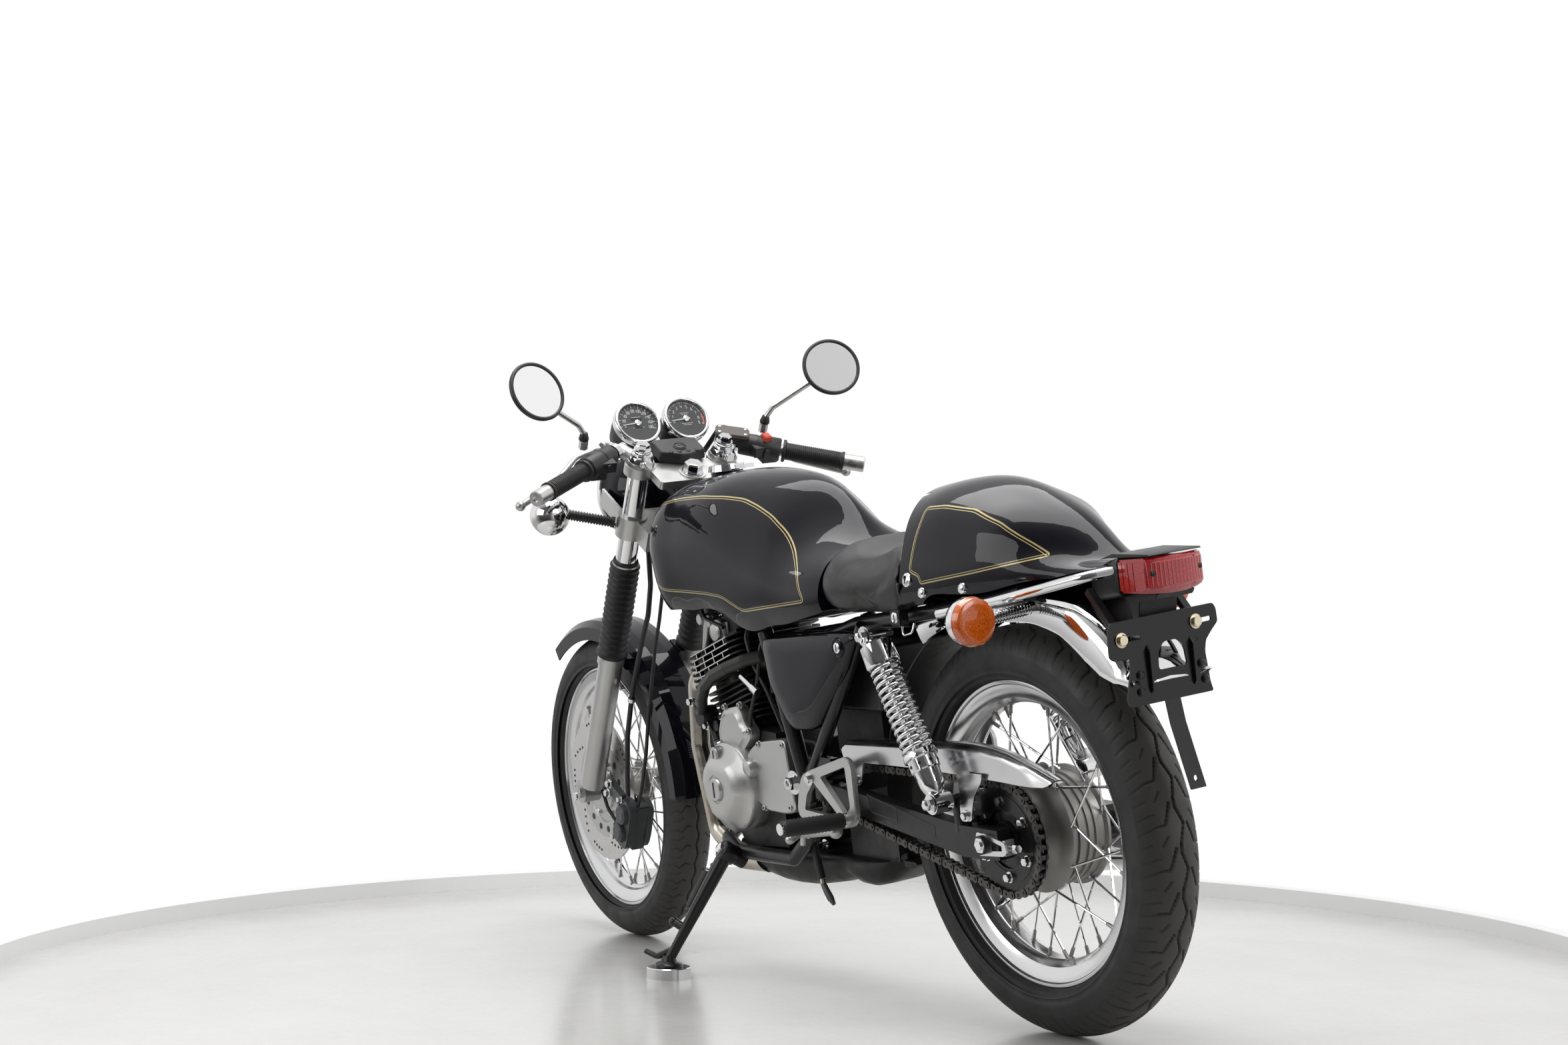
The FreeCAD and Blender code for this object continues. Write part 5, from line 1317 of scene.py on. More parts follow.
def head_trim():
    """The cylinder head's bolts and the round cap on its left side."""
    trim = Form()
    for x in (-54, 0, 54):
        for side in (1, -1):
            trim.bolt((x, 48 * side, 312), UP, 12, 8, 9)
    piece("head_bolts", trim, "chrome", place=BIKE @ CYLINDER, smooth=30)
    cap = Form().lathe([(58, 24), (68, 24), (70, 22), (70, 18), (76, 17), (78, 14), (78, 2)], (836, 0, 640),
                       LEFT, 40)
    cap.lathe([(60, 7), (72, 7)], (862, 0, 656), LEFT, 20).lathe([(60, 7), (72, 7)], (811, 0, 626), LEFT, 20)
    cap.box((806, 58, 622), (866, 64, 658))
    cap.rod((868, 66, 672), (890, 66, 604), 8)
    cap.rod((884, 40, 664), (884, 78, 664), 10)
    piece("head_cap", cap, "cast_alloy", bevel=1.0)


def ribbed_path(points, bend, small, large, step=1.9):
    """An even walk along a path with a radius that rises and falls."""
    raw = rounded(points, bend)
    path = [raw[0]]
    for a, b in zip(raw, raw[1:]):
        count = max(1, round((b - a).length / step))
        path += [a.lerp(b, (n + 1) / count) for n in range(count)]
    return path, [large if n % 2 else small for n in range(len(path))]


def drain_hose():
    """The short hose that hangs from the tray, one smooth curve, with its brass joint and its tip."""
    curve = bpy.data.curves.new("drain_hose", "CURVE")
    curve.dimensions = "3D"
    route = [BIKE @ Vector(place) for place in ((562, 88, 304), (560, 89, 262), (544, 90, 214))]
    spline = curve.splines.new("NURBS")
    spline.points.add(len(route) - 1)
    for point, place in zip(spline.points, route):
        point.co = (*place, 1)
    spline.order_u = 3
    spline.use_endpoint_u = True
    spline.resolution_u = 16
    curve.bevel_depth = 7 * MM
    curve.bevel_resolution = 4
    curve.use_fill_caps = True
    hose = dress(linked("drain_hose", curve), "rubber", "root", ())
    joint = piece("drain_joint", Form().rod((544, 90, 216), (541, 90, 204), 4.6, 16), "brass")
    tip = Form().pipe([(542, 90, 206), (534, 90, 194), (524, 90, 182), (515, 90, 172)], [5, 6, 6.4, 3.4], 16)
    tip = piece("drain_tip", tip, "hose_grey", smooth=60)


def hoses():
    """The ribbed breather hose with its elbow, and the cables behind it."""
    route = [(640, 96, 604), (684, 108, 598), (742, 112, 584), (797, 112, 568), (838, 110, 546),
             (862, 106, 522), (880, 100, 496)]
    path, sizes = ribbed_path(route, 26, 10.0, 11.8)
    piece("breather_hose", Form().pipe(path, sizes, 20), "hose_grey", smooth=60)
    fitting = Form().lathe([(70, 15), (70, 19), (96, 20), (102, 17), (102, 6)], (884, 0, 486), LEFT, 36)
    fitting.rod((880, 98, 500), (872, 104, 514), 13)
    fitting.rod((884, 80, 486), (862, 80, 440), 9)
    fitting.rod((846, 74, 470), (846, 92, 470), 10)
    piece("hose_fitting", fitting, "engine_black", bevel=1.0)
    cables = Form()
    for route in ([(640, 70, 668), (646, 96, 620), (660, 102, 560), (700, 100, 500), (712, 98, 470)],
                  [(700, 60, 676), (700, 92, 640), (672, 100, 590), (640, 96, 540), (610, 90, 470)],
                  [(930, 40, 800), (905, 70, 720), (850, 84, 668), (780, 88, 652)]):
        cables.pipe(rounded(route, 30), 3.6, 12)
    piece("engine_cables", cables, "rubber")


def linkage():
    """Bright rods and bolts beside the carburettor, and the nuts of the exhaust flanges."""
    bits = Form().rod((706, 106, 568), (668, 106, 546), 6).rod((672, 106, 549), (656, 106, 540), 8)
    bits.rod((728, 104, 590), (712, 104, 578), 4).rod((915, 88, 513), (915, 100, 513), 7)
    bits.bolt((915, 96, 513), LEFT, 12, 8, 9)
    bits.bolt((868, 96, 470), LEFT, 10, 7, 8)
    piece("linkage", bits, "chrome", smooth=30)
    nuts = Form()
    for side in (1, -1):
        for end in (-17, 17):
            nuts.bolt((914, side * 38, 566 + end), (1, 0, 0.2), 11, 9, 9)
    piece("exhaust_nuts", nuts, "chrome", smooth=30)


def silencer_and_pan():
    """A short round silencer on the right and a smooth pan under the engine."""
    start, end = Vector((300, -160, 238)), Vector((-190, -172, 300))
    along = (end - start).normalized()
    link = Form().pipe(rounded([(380, -40, 222), (330, -110, 226), (280, -160, 240), start + along * 60], 40),
                       20, 32)
    link.lathe([(0, 22), (16, 23), (70, 43), (84, 45), (330, 45), (344, 43), (372, 28), (398, 24), (398, 21),
                (380, 20), (380, 1)], start, along, 64)
    link.lathe([(83, 45.6), (87, 45.6)], start, along, 64).lathe([(328, 45.6), (332, 45.6)], start, along, 64)
    piece("silencer_shell", link, "chrome", replaces=["silencer"], smooth=40)
    rows = []
    for x, low, half in ((872, 216, 52), (864, 202, 60), (834, 196, 62), (815, 191, 64), (778, 186, 66),
                         (734, 183, 70), (690, 182, 70), (640, 184, 70), (590, 191, 68), (545, 198, 66),
                         (515, 205, 64), (500, 205, 64), (482, 200, 68), (448, 200, 70), (414, 207, 68),
                         (392, 217, 62), (377, 228, 56), (360, 239, 48), (345, 247, 40)):
        edge = [(-half, 252), (-half, low + 24), (-half + 26, low), (half - 26, low), (half, low + 24),
                (half, 252)]
        rows.append([(x, y, z) for y, z in rounded_outline(edge, 16)])
    pan = Form().skin(rows).slab([(350, 254), (350, 244), (318, 244), (312, 250), (318, 254)], -30, 44)
    piece("engine_pan", pan, "engine_black", replaces=["exhaust_collector"], smooth=60)


def arm_label():
    """A blank label with a thin pale border on the swingarm."""
    sheet_form, border = Form(), Form()
    outline = [(320, 385), (132, 346), (132, 325), (312, 352)]
    sheet_form.slab(outline, 122, 122.4)
    line = [Vector((x, 122.6, z)) for x, z in ((317, 382), (236, 366), (236, 345), (309, 355))]
    for a, b in zip(line, line[1:] + line[:1]):
        border.rod(a, b, 0.5, 6)
    piece("arm_label", sheet_form, "black_plastic")
    piece("arm_label_border", border, "caliper_grey")


PAD_SLACK = 4
PAD_SWELL = 7.5
CLOTH_FRAMES = 20


def points_of(obj):
    """The places of a mesh's points, one row for each."""
    return np.array([v.co[:] for v in obj.data.vertices])


def move_points(obj, places):
    """Sets every point of a mesh to its new place."""
    for v, place in zip(obj.data.vertices, places):
        v.co = place


def seat():
    """A padded saddle, swelled as cloth from a slightly smaller copy of its solid."""
    bm = bmesh.new()
    bm.from_mesh(NODES["seat"].data)
    bmesh.ops.remove_doubles(bm, verts=bm.verts, dist=0.0002)
    obj = plain_object("seat_pad", bm)
    remesh = obj.modifiers.new("remesh", "REMESH")
    remesh.mode = "VOXEL"
    remesh.voxel_size = 5 * MM
    smooth = obj.modifiers.new("smooth", "CORRECTIVE_SMOOTH")
    smooth.factor, smooth.iterations, smooth.smooth_type = 0.5, 6, "SIMPLE"
    bake(obj)
    normals = np.array([v.normal[:] for v in obj.data.vertices])
    slim = points_of(obj) - normals * PAD_SLACK * MM
    move_points(obj, slim)
    cloth = obj.modifiers.new("cloth", "CLOTH")
    cloth.settings.use_pressure = True
    cloth.settings.uniform_pressure_force = 4
    cloth.settings.effector_weights.gravity = 0
    cloth.point_cache.frame_start, cloth.point_cache.frame_end = 1, CLOTH_FRAMES
    for step in range(1, CLOTH_FRAMES + 1):
        bpy.context.scene.frame_set(step)
    bake(obj)
    bpy.context.scene.frame_set(1)
    move = points_of(obj) - slim
    far = np.linalg.norm(move, axis=1, keepdims=True)
    move_points(obj, slim + move * np.minimum(1, PAD_SWELL * MM / np.maximum(far, 1e-9)))
    finer = obj.modifiers.new("finer", "SUBSURF")
    finer.levels = finer.render_levels = 1
    bake(obj)
    obj.data.materials.clear()
    obj.data.shade_smooth()
    dress(obj, "seat_vinyl", "root", ["seat"])


def bake(obj):
    """Swaps an object's mesh for what its modifiers make of it."""
    made = made_of(obj)
    obj.modifiers.clear()
    obj.data = made


def side_cover(side, tag):
    """A bulged black panel with its lock."""
    edge = [(591, 630), (582, 641), (351, 656), (300, 655), (287, 646), (330, 591), (431, 496), (459, 484),
            (515, 482), (537, 496), (580, 560)]
    levels = ((112, 0.99), (122, 1.0), (127, 0.985), (131, 0.93), (134, 0.75), (135, 0.4))
    rows = [[(x, y * side, z) for x, z in shrunk(rounded_outline(edge, 16), (430, 600), size)]
            for y, size in levels]
    panel = Form().skin(rows)
    piece("side_panel_" + tag, panel, "black_paint", replaces=once(side, "side_covers"), smooth=50)
    lock, out = (334, 0, 630), (0, side, 0)
    lip = Form().lathe([(126, 17), (134, 17), (136, 15), (134, 12.5), (130, 11)], lock, out, 40)
    piece("panel_lock_ring_" + tag, lip, "black_paint", smooth=60)
    barrel = Form().lathe([(128, 9), (137, 9), (138, 7.5), (138, 0)], lock, out, 32)
    piece("panel_lock_" + tag, barrel, "chrome", smooth=40)
    # A dark bar paints the shade in the lock's key slot.
    slit = Form().box((333, 137.6 * side, 624), (335, 138.4 * side, 636))
    piece("panel_key_slot_" + tag, slit, "engine_black")


def rests(side, tag):
    """The alloy loop that carries a footrest, its peg and its lever."""
    edge = [(461, 416), (447, 421), (335, 450), (322, 447), (313, 434), (316, 350), (328, 334), (360, 327),
            (494, 338), (498, 352), (487, 388), (474, 410)]
    loop = Form().slab(rounded_outline(edge, 9), 140 * side, 150 * side)
    obj = piece("rest_loop_" + tag, loop, "cast_alloy", replaces=once(side, "footrests"), bevel=1.6)
    holes = Form()
    for window in ([(414, 412), (334, 434), (331, 366), (346, 352), (352, 352)],
                   [(452, 388), (462, 380), (474, 352), (384, 346), (372, 352), (438, 402)]):
        holes.slab(rounded_outline(window, 5), 130 * side, 160 * side)
    carve(obj, holes)
    peg, ends, lever = Form(), Form(), Form()
    peg.pipe(*ribbed_path([(352, 156 * side, 343), (352, 272 * side, 352)], 10, 13.2, 14.6, 3.6), 24)
    piece("rest_peg_" + tag, peg, "rubber", smooth=50)
    ends.rod((352, 140 * side, 343), (352, 158 * side, 343), 12)
    ends.rod((352, 270 * side, 352), (352, 277 * side, 352), 10)
    ends.rod((447, 116 * side, 407), (447, 152 * side, 407), 11)
    ends.rod((480, 116 * side, 352), (480, 142 * side, 352), 9)
    ends.bolt((447, 150 * side, 407), (0, side, 0), 13, 6, 12)
    ends.bolt((352, 150 * side, 343), (0, side, 0), 15, 6)
    piece("rest_studs_" + tag, ends, "chrome", smooth=30)
    lever.pipe(rounded([(372, 158 * side, 324), (452, 160 * side, 314), (460, 164 * side, 314)], 8), 6.5, 16)
    lever.ball((372, 158 * side, 324), 12)
    lever.pipe([(456, 158 * side, 314), (462, 176 * side, 318), (452, 200 * side, 312)], [9, 8, 8], 16)
    lever.ball((452, 200 * side, 312), 8)
    lever.rod((456, 168 * side, 326), (464, 168 * side, 296), 5)
    piece("rest_lever_" + tag, lever, "cast_alloy", smooth=45)
    piece("rest_rod_" + tag, Form().rod((380, 150 * side, 318), (560, 104 * side, 300), 4), "chrome")


def side_stand():
    """The straight leg with its spring, sleeve, pivot bolt and flared foot, and the disc under it."""
    joint = JOINTS["side_stand_fold"]
    pivot = BIKE.inverted() @ Vector(joint["pos_m"])
    swing = (BIKE.to_3x3().inverted() @ Vector(joint["axis"])).normalized()
    bolt = Form().lathe([(-18, 12), (-16, 12)], pivot, swing, 30)
    bolt.lathe([(26, 10), (34, 10), (35, 8)], pivot, swing, 6)
    piece("stand_bolt", bolt, "chrome", "stand")
    hip = pivot + swing * 14
    ankle = Vector((853, 243, 68))
    spring_top = hip.lerp(ankle, 0.16) + Vector((26, 0, 0))
    spring_foot = hip.lerp(ankle, 0.58) + Vector((22, 0, 0))
    run = spring_foot - spring_top
    leg = Form().pipe([hip, hip.lerp(ankle, 0.1), hip.lerp(ankle, 0.5), hip.lerp(ankle, 0.85), ankle],
                      [14, 14, 12, 9.5, 9.5], 24)
    leg.lathe([(-16, 17), (-14, 19), (12, 19), (14, 17)], pivot + swing * 13, swing, 36)
    peg = hip.lerp(ankle, 0.72)
    leg.rod(peg, peg + Vector((22, 10, 14)), 8)
    leg.ball(peg + Vector((22, 10, 14)), 9)
    piece("stand_leg", leg, "frame_black", "stand", replaces=["side_stand"], smooth=50)
    end = run.length - 12
    sleeve = Form().lathe([(9, 8), (10, 10), (end, 10), (end + 1, 8)], spring_top, run, 24)
    piece("stand_spring_sleeve", sleeve, "rubber", "stand")
    way = run.normalized()
    ends = coil(spring_top + way * 4, run, 6.5, 1.4, 12, end, 8)
    ends.rod(spring_top - way * 6, spring_top + way * 6, 1.8, 8)
    ends.rod(spring_foot - way * 8, spring_foot + way * 6, 1.8, 8)
    ends.rod(spring_foot + way * 4, hip.lerp(ankle, 0.66), 4)
    ends.rod(spring_top - way * 5, hip.lerp(ankle, 0.06), 4)
    piece("stand_spring", ends, "chain_steel", "stand")
    foot = Vector((854, 245.6, 55.2))
    up = (BIKE.to_3x3().inverted() @ Vector((0, 0, 1))).normalized()
    flare = Form().lathe([(0.3, 25), (4, 26), (6.5, 24), (10, 15), (20, 11)], foot, up, 40)
    spur = rounded([foot + Vector(v) for v in ((-4, -12, 30), (30, 6, 16), (52, 16, 26))], 16)
    flare.pipe(spur, [6.5 - 0.3 * n for n in range(len(spur))], 14)
    piece("stand_foot", flare, "frame_black", "stand", smooth=45)
    puck = Form().lathe([(-20, 40), (-1.5, 40), (0, 38.5), (0, 26)], foot, up, 72)
    piece("stand_puck_edge", puck, "polished_alloy", "stand", replaces=["stand_puck"], smooth=40)


# ------------------------------------------------------------------ tail

def tail_lamp():
    """Red lens with a moulded grid, dark rubber body and a thin black visor."""
    rows = []
    for n in range(13):
        y = -54 + 9 * n
        back = -390 + 13 * (y / 54) ** 2
        rise = 4 * (y / 54) ** 2
        rows.append([(-314, y, 705 + rise), (-314, y, 757), (back + 5, y, 759), (back, y, 754),
                     (back, y, 712 + rise), (back + 7, y, 704 + rise)])
    piece("tail_lens", Form().skin(rows), "red_lens", replaces=["tail_light"], bevel=3.0, smooth=30)
    ribs = Form()
    for n in range(15):
        y = -46 + 6.4 * n
        back = -390.25 + 13 * ((y + 1.5) / 54) ** 2
        ribs.box((back, y, 717), (back + 1.5, y + 3.0, 751))
    for x in (-326, -338, -350):
        ribs.box((x, -54.7, 712), (x + 7, 54.7, 753))
    piece("lens_ribs", ribs, "red_lens", bevel=0.2)
    screws = Form()
    for y in (-44, 44):
        screws.lathe([(-4, 4), (1.4, 4), (2, 3)], (-381, y, 736), (-1, 0, 0), 16)
    piece("lens_screws", screws, "engine_black")
    rows = []
    for x, half, low, high in ((-226, 34, 694, 738), (-256, 44, 696, 750), (-298, 52, 701, 758),
                               (-310, 55, 703, 760), (-316, 55, 703, 760)):
        line = rounded_outline([(-half, low), (half, low), (half, high), (-half, high)], 10)
        rows.append([(x, y, z) for y, z in line])
    body = Form().skin(rows)
    body.slab([(-316, 664), (-306, 706), (-376, 705), (-370, 697), (-334, 692), (-328, 664)], -36, 36)
    visor = [(-286, 760), (-384, 761.5), (-380, 764), (-300, 766), (-270, 758)]
    body.slab(visor, -50, 50)
    piece("lamp_body", body, "black_plastic", bevel=1.5)


def plate_bracket():
    """Black bracket with slotted ears, a cut-out, folded ribs and a hanging strip."""
    edge = [(106, 660), (100, 672), (-94, 674), (-99, 666), (-100, 646), (-86, 634), (-74, 622), (-70, 606),
            (-74, 560), (-78, 546), (80, 546), (84, 556), (72, 600), (70, 616), (100, 616), (108, 622)]
    sheet_form = Form().slab(rounded_outline(edge, 4), -341.5, -338.5, "yz")
    obj = piece("bracket_plate", sheet_form, "frame_black", replaces=["plate_bracket"])
    arch = [(20, 592), (-34, 592), (-31, 618), (-20, 632), (6, 632), (18, 618)]
    holes = Form().slab(rounded_outline(arch, 6), -350, -330, "yz")
    holes.slab(rounded_outline([(-54, 655), (-88, 656), (-88, 649), (-54, 648)], 3), -350, -330, "yz")
    holes.slab(rounded_outline([(88, 648), (46, 648), (46, 641), (88, 641)], 3), -350, -330, "yz")
    holes.lathe([(-350, 4), (-330, 4)], (0, -54, 626), AHEAD, 20)
    carve(obj, holes)
    ribs = Form()
    for y, fold in ((38, 26), (-44, -26)):
        ribs.slab([(-341, 632), (-341, 560), (-347, 566), (-349, 622)], y - 2, y + 2)
        ribs.box((-341, y, 560), (-337, y + fold, 630))
    ribs.box((-338, -30, 640), (-262, 30, 644))
    ends = (((-262, 6, 712), (-270, 6, 720), (-270, -6, 720), (-262, -6, 712)),
            ((-331, 7, 634), (-338, 7, 640), (-338, -7, 640), (-331, -7, 634)))
    for y in (72, -72):
        ribs.skin([[(x, y + d, z) for x, d, z in end] for end in ends])
    strip = [(-341, 548), (-338, 548), (-344, 512), (-373, 417), (-376, 417), (-347, 512)]
    obj = piece("bracket_strip", Form().slab(strip, -14, 14), "frame_black")
    carve(obj, Form().lathe([(-12, 4), (12, 4)], (-369, 0, 432), (1, 0, 0.3), 20))
    for y, z in ((56, 590), (58, 566), (-60, 590), (-64, 566)):
        ribs.lathe([(0, 7), (3, 6.5), (5, 4)], (-341, y, z), (-1, 0, 0), 20)
    piece("bracket_ribs", ribs, "frame_black", bevel=0.6)
    screws = Form()
    for y, z in ((84, 645), (-57, 652)):
        screws.lathe([(0, 11), (2, 11), (2.2, 8.5), (6, 8.5), (7.5, 7)], (-341.5, y, z), (-1, 0, 0), 28)
    piece("plate_screws", screws, "brass")


def rear_fender():
    """Chrome fender with deep rolled sides; it lifts away from the tyre towards its end."""
    angles = [30, 0, -10, -20, -30, -40, -46, -50, -52, -54]
    crest = [412, 412, 416, 426, 436, 436, 433, 429, 427, 425]
    foot = [350, 342, 345, 360, 371, 371, 377, 392, 408, 417]
    rows = []
    for n in range(61):
        turn = 30 - 84 * n / 60
        high = float(np.interp(-turn, [-a for a in angles], crest))
        low = float(np.interp(-turn, [-a for a in angles], foot))
        half = [(73, low), (74, low + 10), (73.5, max(high - 28, low + 14)), (67, max(high - 13, low + 15)),
                (53, high - 5), (26, high - 1.2), (0, high)]
        outer = [(-y, r) for y, r in half] + [(y, r) for y, r in reversed(half[:-1])]
        inner = [(y * 0.965, r - 2.4 if abs(y) < 70 else r) for y, r in reversed(outer)]
        a = radians(turn)
        rows.append([(r * sin(a), y, REAR_RADIUS + r * cos(a)) for y, r in outer + inner])
    piece("fender_shell", Form().skin(rows), "chrome", replaces=["rear_fender"], smooth=60)


def inner_guard():
    """The black guard ahead of the rear wheel and the boxes in front of it."""
    rows = []
    for n in range(25):
        a = radians(28 + 66 * n / 24)
        rows.append([(r * sin(a), y, REAR_RADIUS + r * cos(a))
                     for y, r in ((-62, 350), (62, 350), (62, 352.5), (-62, 352.5))])
    inside = Form().skin(rows)
    inside.box((356, -50, 430), (500, 50, 518)).box((356, -48, 252), (500, 48, 306))
    piece("inner_guard", inside, "black_plastic")


def chain_guard():
    """The polished guard over the chain and the sprocket, with its two stays."""
    rows = []
    top = [(396, 452, 458), (392, 438, 466), (384, 434, 469), (330, 434, 470), (226, 434, 472),
           (150, 433, 475), (78, 431, 477), (40, 430, 477), (0, 428, 474), (-50, 425, 466), (-90, 422, 455),
           (-120, 421, 445), (-145, 422, 436), (-160, 426, 431)]
    for x, low, high in top:
        inner, outer = 72, 111 + (1.5 if x < 100 else 0)
        if x < 0:
            inner, outer = 72 - x * 0.02, 112.5 + x * 0.04
        line = [(inner, max(low, high - 16)), (inner, high - 5), (inner + 7, high), (outer - 9, high),
                (outer, high - 8), (outer + 1, low), (outer - 0.8, low - 1), (outer - 1.8, high - 8),
                (outer - 10, high - 2), (inner + 8, high - 2), (inner + 1.6, high - 6),
                (inner + 1.6, max(low, high - 16))]
        rows.append([(x, y, z) for y, z in line])
    guard = Form().skin(rows)
    stay = rounded_outline([(57, 436), (-10, 436), (-6, 424), (18, 400), (27, 376), (31, 360), (58, 358),
                            (59, 376), (55, 400)], 5)
    guard.slab(stay, 118, 120.4)
    guard.slab([(24, 434), (56, 434), (56, 438), (24, 438)], 109, 119)
    guard.slab(rounded_outline([(378, 438), (336, 438), (344, 412), (350, 396), (364, 392), (372, 402)], 4),
               108, 111)
    piece("guard_shell", guard, "polished_alloy", replaces=["chain_guard"], bevel=0.5, smooth=45)


def axle_ends():
    """The guard's bolts, the axle's nuts and the chain adjusters."""
    bolts = Form().bolt((44, 120.4, 368), LEFT, 11, 6, 9).bolt((357, 111, 404), LEFT, 10, 6, 8)
    for side in (1, -1):
        at = (0, 121 * side, REAR_RADIUS)
        bolts.lathe([(0, 17), (3, 17)], at, (0, side, 0), 32)
        bolts.lathe([(3, 15), (11, 15), (13, 13), (13, 6)], at, (0, side, 0), 6)
        bolts.lathe([(0, 8), (15, 8), (16, 7)], at, (0, side, 0), 24)
        bolts.bolt((-62, 112 * side, REAR_RADIUS - 4), (-1, 0, 0), 13, 10)
        bolts.rod((-30, 112 * side, REAR_RADIUS - 3), (-66, 112 * side, REAR_RADIUS - 5), 4)
    piece("axle_bolts", bolts, "chrome", smooth=30)
    for side, tag in SIDES:
        edge = rounded_outline([(16, 346), (-54, 334), (-58, 318), (-50, 312), (16, 308), (22, 327)], 6)
        obj = piece("adjuster_" + tag, Form().slab(edge, 121.5 * side, 125 * side), "polished_alloy")
        carve(obj, Form().slab([(-20, 334), (-46, 328), (-46, 320), (-20, 318)], 115 * side, 130 * side))
    blocks = Form()
    for side in (1, -1):
        blocks.box((-52, 104 * side, 312), (-46, 122 * side, 336))
    piece("adjuster_blocks", blocks, "cast_alloy")


def surface_tree(node):
    """A search tree over a CAD node in the upright machine's millimetres."""
    mesh = NODES[node].data
    inverse = BIKE.inverted()
    verts = [inverse @ v.co for v in mesh.vertices]
    return BVHTree.FromPolygons(verts, [p.vertices[:] for p in mesh.polygons])


def from_side(tree, x, z, side):
    """Where a level line from the machine's side meets the surface, and the way the surface faces there."""
    return tree.ray_cast(Vector((x, 400 * side, z)), Vector((0, -side, 0)))[:2]


def stripe(name, tree, points, side, bend):
    """Thin painted lines laid on a surface; points are (x, z), seen from the side."""
    closed = [Vector((x, 0, z)) for x, z in points]
    smooth = rounded_loop(closed, bend)
    count = len(smooth)
    form = Form()
    for inset, half in ((0, 0.95), (3.6, 0.5)):
        rows = []
        for n in range(count):
            ahead = (smooth[(n + 1) % count] - smooth[n - 1]).normalized()
            inward = Vector((-ahead.z, 0, ahead.x))
            row = []
            for k in (-half, half):
                spot = smooth[n] + inward * (inset + k)
                hit, normal = from_side(tree, spot.x, spot.z, side)
                row.append(hit + normal * PAINT_LIFT if hit else None)
            rows.append(row)
        for n in range(count):
            a, b = rows[n], rows[(n + 1) % count]
            if None in a or None in b or (a[0] - b[0]).length > LONGEST_STEP:
                continue
            form.add([a[0], a[1], b[1], b[0]], [(0, 1, 2, 3)])
    return piece(name, form, "gold_line", smooth=80)


def rounded_loop(points, bend):
    """A closed path with rounded corners, walked in even steps."""
    made = rounded_corners(points, bend, 6)
    walked = []
    for a, b in zip(made, made[1:] + made[:1]):
        parts = max(1, round((b - a).length / STRIPE_STEP))
        walked += [a.lerp(b, k / parts) for k in range(parts)]
    return walked


PAINT_LIFT = 0.25
STRIPE_STEP = 3
LONGEST_STEP = 30
TANK_LINE = [(899, 885), (830, 892), (753, 894), (685, 890), (636, 883), (595, 869), (554, 851), (518, 826),
             (478, 792), (432, 757), (398, 708), (505, 699), (607, 690), (672, 716), (732, 721), (806, 724),
             (880, 727), (935, 745), (950, 800), (935, 860)]
COWL_LINE = [(84, 852), (37, 853), (-32, 844), (-95, 822), (-146, 790), (-179, 768), (-138, 762), (-51, 750),
             (76, 735), (79, 747), (103, 755), (90, 800), (82, 830)]


def stripes():
    """A broad and a fine gold line on each flank of the tank and the cowl."""
    for name, node, line, bend in (("tank", "fuel_tank", TANK_LINE, 14), ("cowl", "tail_cowl", COWL_LINE, 9)):
        tree = surface_tree(node)
        for side, tag in SIDES:
            stripe(f"{name}_stripe_{tag}", tree, line, side, bend)


def cowl_trims():
    """The cowl's bolts and lock, and the helmet lock under its front corner."""
    shells, slots = Form(), Form()
    tree = surface_tree("tail_cowl")
    for side in (1, -1):
        for x, z, r in ((110, 742, 9.5), (-24, 728, 7.5), (76, 722, 7.5)):
            hit = from_side(tree, x, z, side)[0]
            if hit:
                way = Vector((0, side, 0.25))
                shells.lathe([(-3, r + 2), (1.5, r + 2), (2.5, r + 1), (2.5, r), (4, r * 0.8), (5, r * 0.3)],
                             hit, way, 32)
                # A dark bar paints the shade in the cowl lock's key slot.
                if r > 9:
                    slots.box((hit.x - 1, hit.y, hit.z - 5), (hit.x + 1, hit.y + 6 * side, hit.z + 7))
    piece("cowl_bolts", shells, "chrome", smooth=40)
    piece("cowl_key_slot", slots, "engine_black")
    piece("helmet_lock_body", Form().box((136, 120, 668), (164, 138, 694)), "frame_black", bevel=2)
    ring = Form().lathe([(0, 9), (2, 9), (2.6, 7.6)], (150, 137, 682), LEFT, 28)
    ring.pipe(rounded([(140, 132, 668), (138, 134, 652), (112, 134, 658), (112, 128, 672)], 6), 1.8, 10)
    piece("helmet_lock", ring, "chrome", smooth=40)
    # A dark bar paints the shade in the helmet lock's key slot.
    piece("helmet_key_slot", Form().box((149, 139.4, 677), (151, 140, 687)), "engine_black")


wheels()
brake_disc()
chain()
sprockets()
shocks()
clock("left", 1, 180, 2, 9, 0)
clock("right", -1, 9, 5, 9, 0.83)
lock_and_cover()
clamps_and_caps()
grips_and_weights()
clip_ons()
switches()
levers()
reservoir()
mirrors()
front_lamp()
indicators()
gaiters()
brake_caliper()
hose_and_cable()
drive_covers()
alternator_dome()
engine_bolts()
cylinder_fins()
head_trim()
hoses()
linkage()
drain_hose()
silencer_and_pan()
arm_label()
seat()
for side, tag in SIDES:
    side_cover(side, tag)
    rests(side, tag)
side_stand()
tail_lamp()
plate_bracket()
rear_fender()
inner_guard()
chain_guard()
axle_ends()
stripes()
cowl_trims()


# ------------------------------------------------------------------ stage, light and camera

STAGE_CENTRE = Vector((0.13, -0.13, 0))
STAGE_RADIUS = 1.50


def room_piece(name, form):
    """A form in metres as a part of the room, in the finish of the same name."""
    obj = plain_object(name, mesh_of(form, Matrix.Identity(4), 0))
    obj.data.materials.append(FINISHES[name])
    return obj


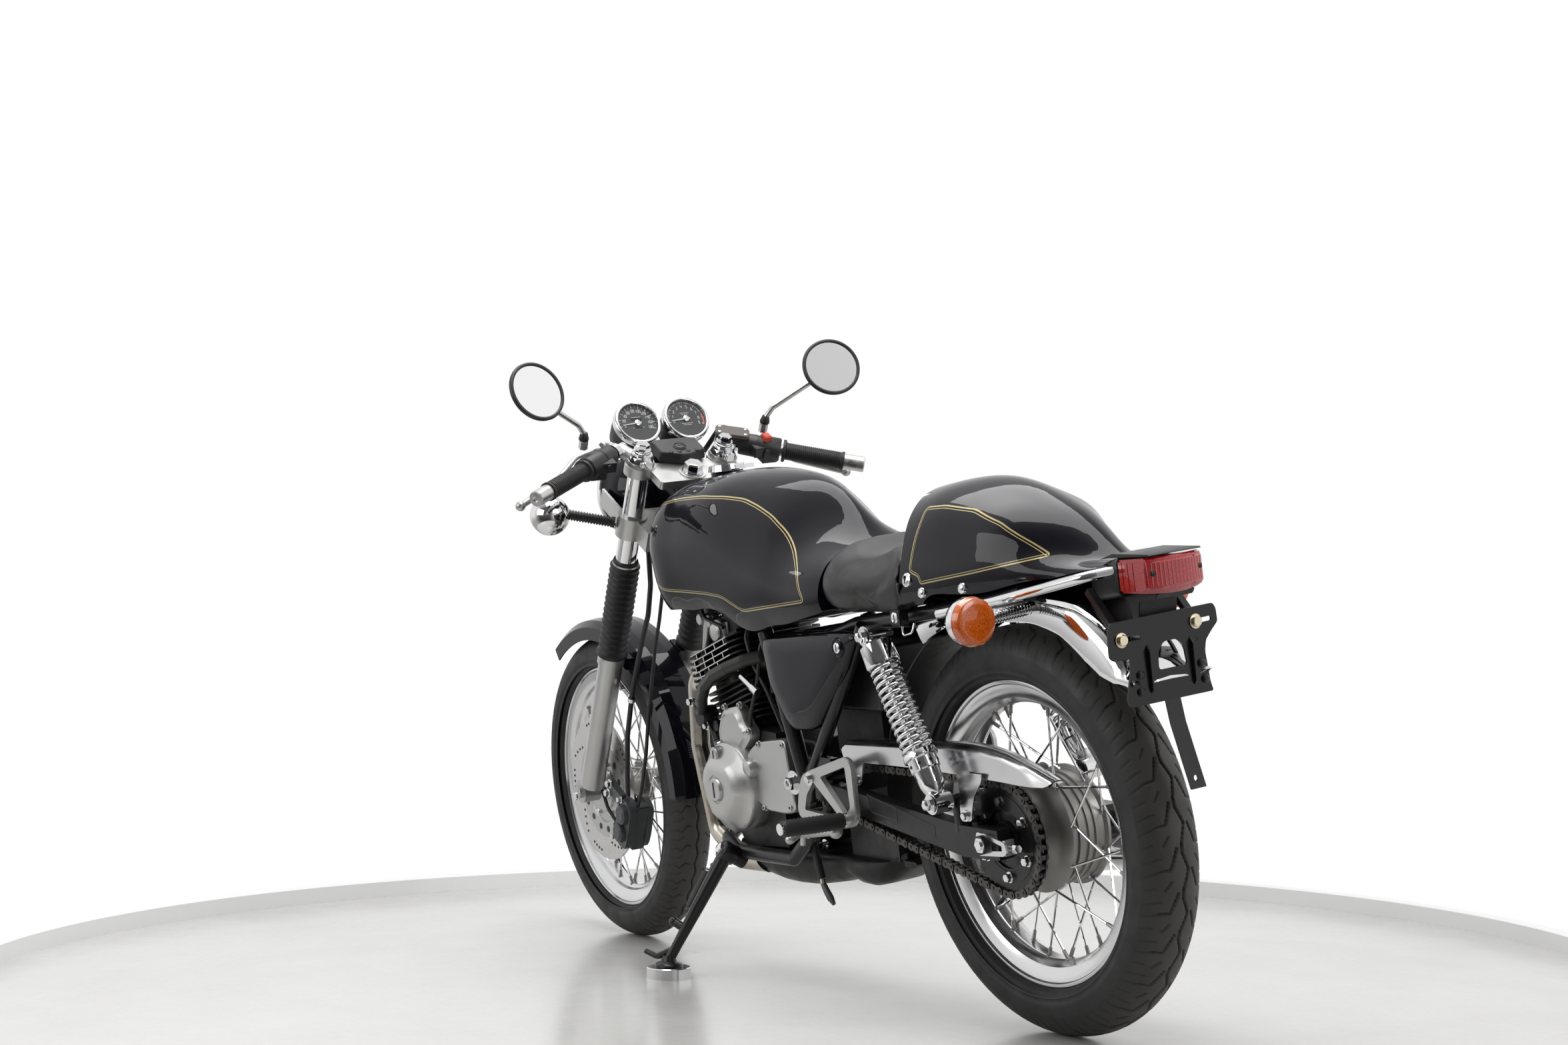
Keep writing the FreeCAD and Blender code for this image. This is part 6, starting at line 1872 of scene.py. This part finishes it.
def stage():
    """A round polished floor with a low white skirting at its far edge."""
    finish("floor", (0.4, 0.4, 0.39), 0.3, vary=concrete)
    finish("skirting", (0.78, 0.78, 0.78), 0.4)
    disc = Form().lathe([(-0.02, STAGE_RADIUS), (0, STAGE_RADIUS)], STAGE_CENTRE, UP, 128)
    rows = []
    for n in range(97):
        a = radians(-120 + 180 * n / 96)
        out = Vector((cos(a), sin(a), 0))
        rows.append([STAGE_CENTRE + out * (STAGE_RADIUS + r) + Vector((0, 0, z))
                     for r, z in ((0, 0), (0, 0.034), (0.004, 0.036), (0.03, 0.036), (0.03, 0))])
    room_piece("floor", disc)
    room_piece("skirting", Form().skin(rows))


def light(name, at, towards, width, height, power):
    """A rectangular lamp turned to a point."""
    data = bpy.data.lights.new(name, "AREA")
    data.shape = "RECTANGLE"
    data.size = width
    data.size_y = height
    data.energy = power
    obj = linked(name, data)
    obj.location = at
    obj.rotation_euler = (Vector(towards) - Vector(at)).to_track_quat("-Z", "Y").to_euler()


def sky():
    """White walls with a dim opening behind on the left, a soft ceiling and a grey floor."""
    world = bpy.data.worlds.new("studio")
    bpy.context.scene.world = world
    world.use_nodes = True
    tree = world.node_tree
    way = first_flow(tree, "ShaderNodeTexCoord", "Generated")
    facing = way.node("ShaderNodeVectorMath", {0: way, 1: (-0.60, 0.80, 0.05)}, 1, operation="DOT_PRODUCT")
    height = way.node("ShaderNodeSeparateXYZ", {0: way}, 2)
    wall = facing.spread(0.30, 0.80, 0.95, 0.10) * height.spread(0.70, 0.95, 1.0, 0.8)
    room = wall * height.spread(-0.3, 0.0, 0.45, 1.0)
    seen = first_flow(tree, "ShaderNodeLightPath", "Is Camera Ray")
    tone = seen + room * (1.0 - seen)
    tree.links.new(tone.socket, tree.nodes["Background"].inputs["Color"])


def camera():
    """Looks forward from behind on the left, a little below the height of the tank."""
    hub = Vector(JOINTS["rear_wheel_spin"]["pos_m"])
    data = bpy.data.cameras.new("camera")
    data.sensor_width = 36
    data.lens = 59.04
    data.clip_end = 60
    obj = linked("camera", data)
    obj.location = hub + Vector((-3.232, 2.481, 0.369))
    yaw, pitch = radians(-31.68), radians(1.6)
    ahead = Vector((cos(pitch) * cos(yaw), cos(pitch) * sin(yaw), sin(pitch)))
    obj.rotation_euler = ahead.to_track_quat("-Z", "Y").to_euler()
    bpy.context.scene.camera = obj


stage()
sky()
light("overhead", (0.1, 0.2, 3.2), (0, 0, 0.4), 2.6, 2.0, 75)
light("left_wall", (0.2, 3.2, 1.7), (0.1, 0, 0.6), 2.6, 1.6, 32)
light("rear_wall", (-3.4, -0.6, 2.2), (0, 0, 0.5), 1.6, 1.6, 26)
camera()
bpy.context.scene.view_settings.view_transform = "Standard"
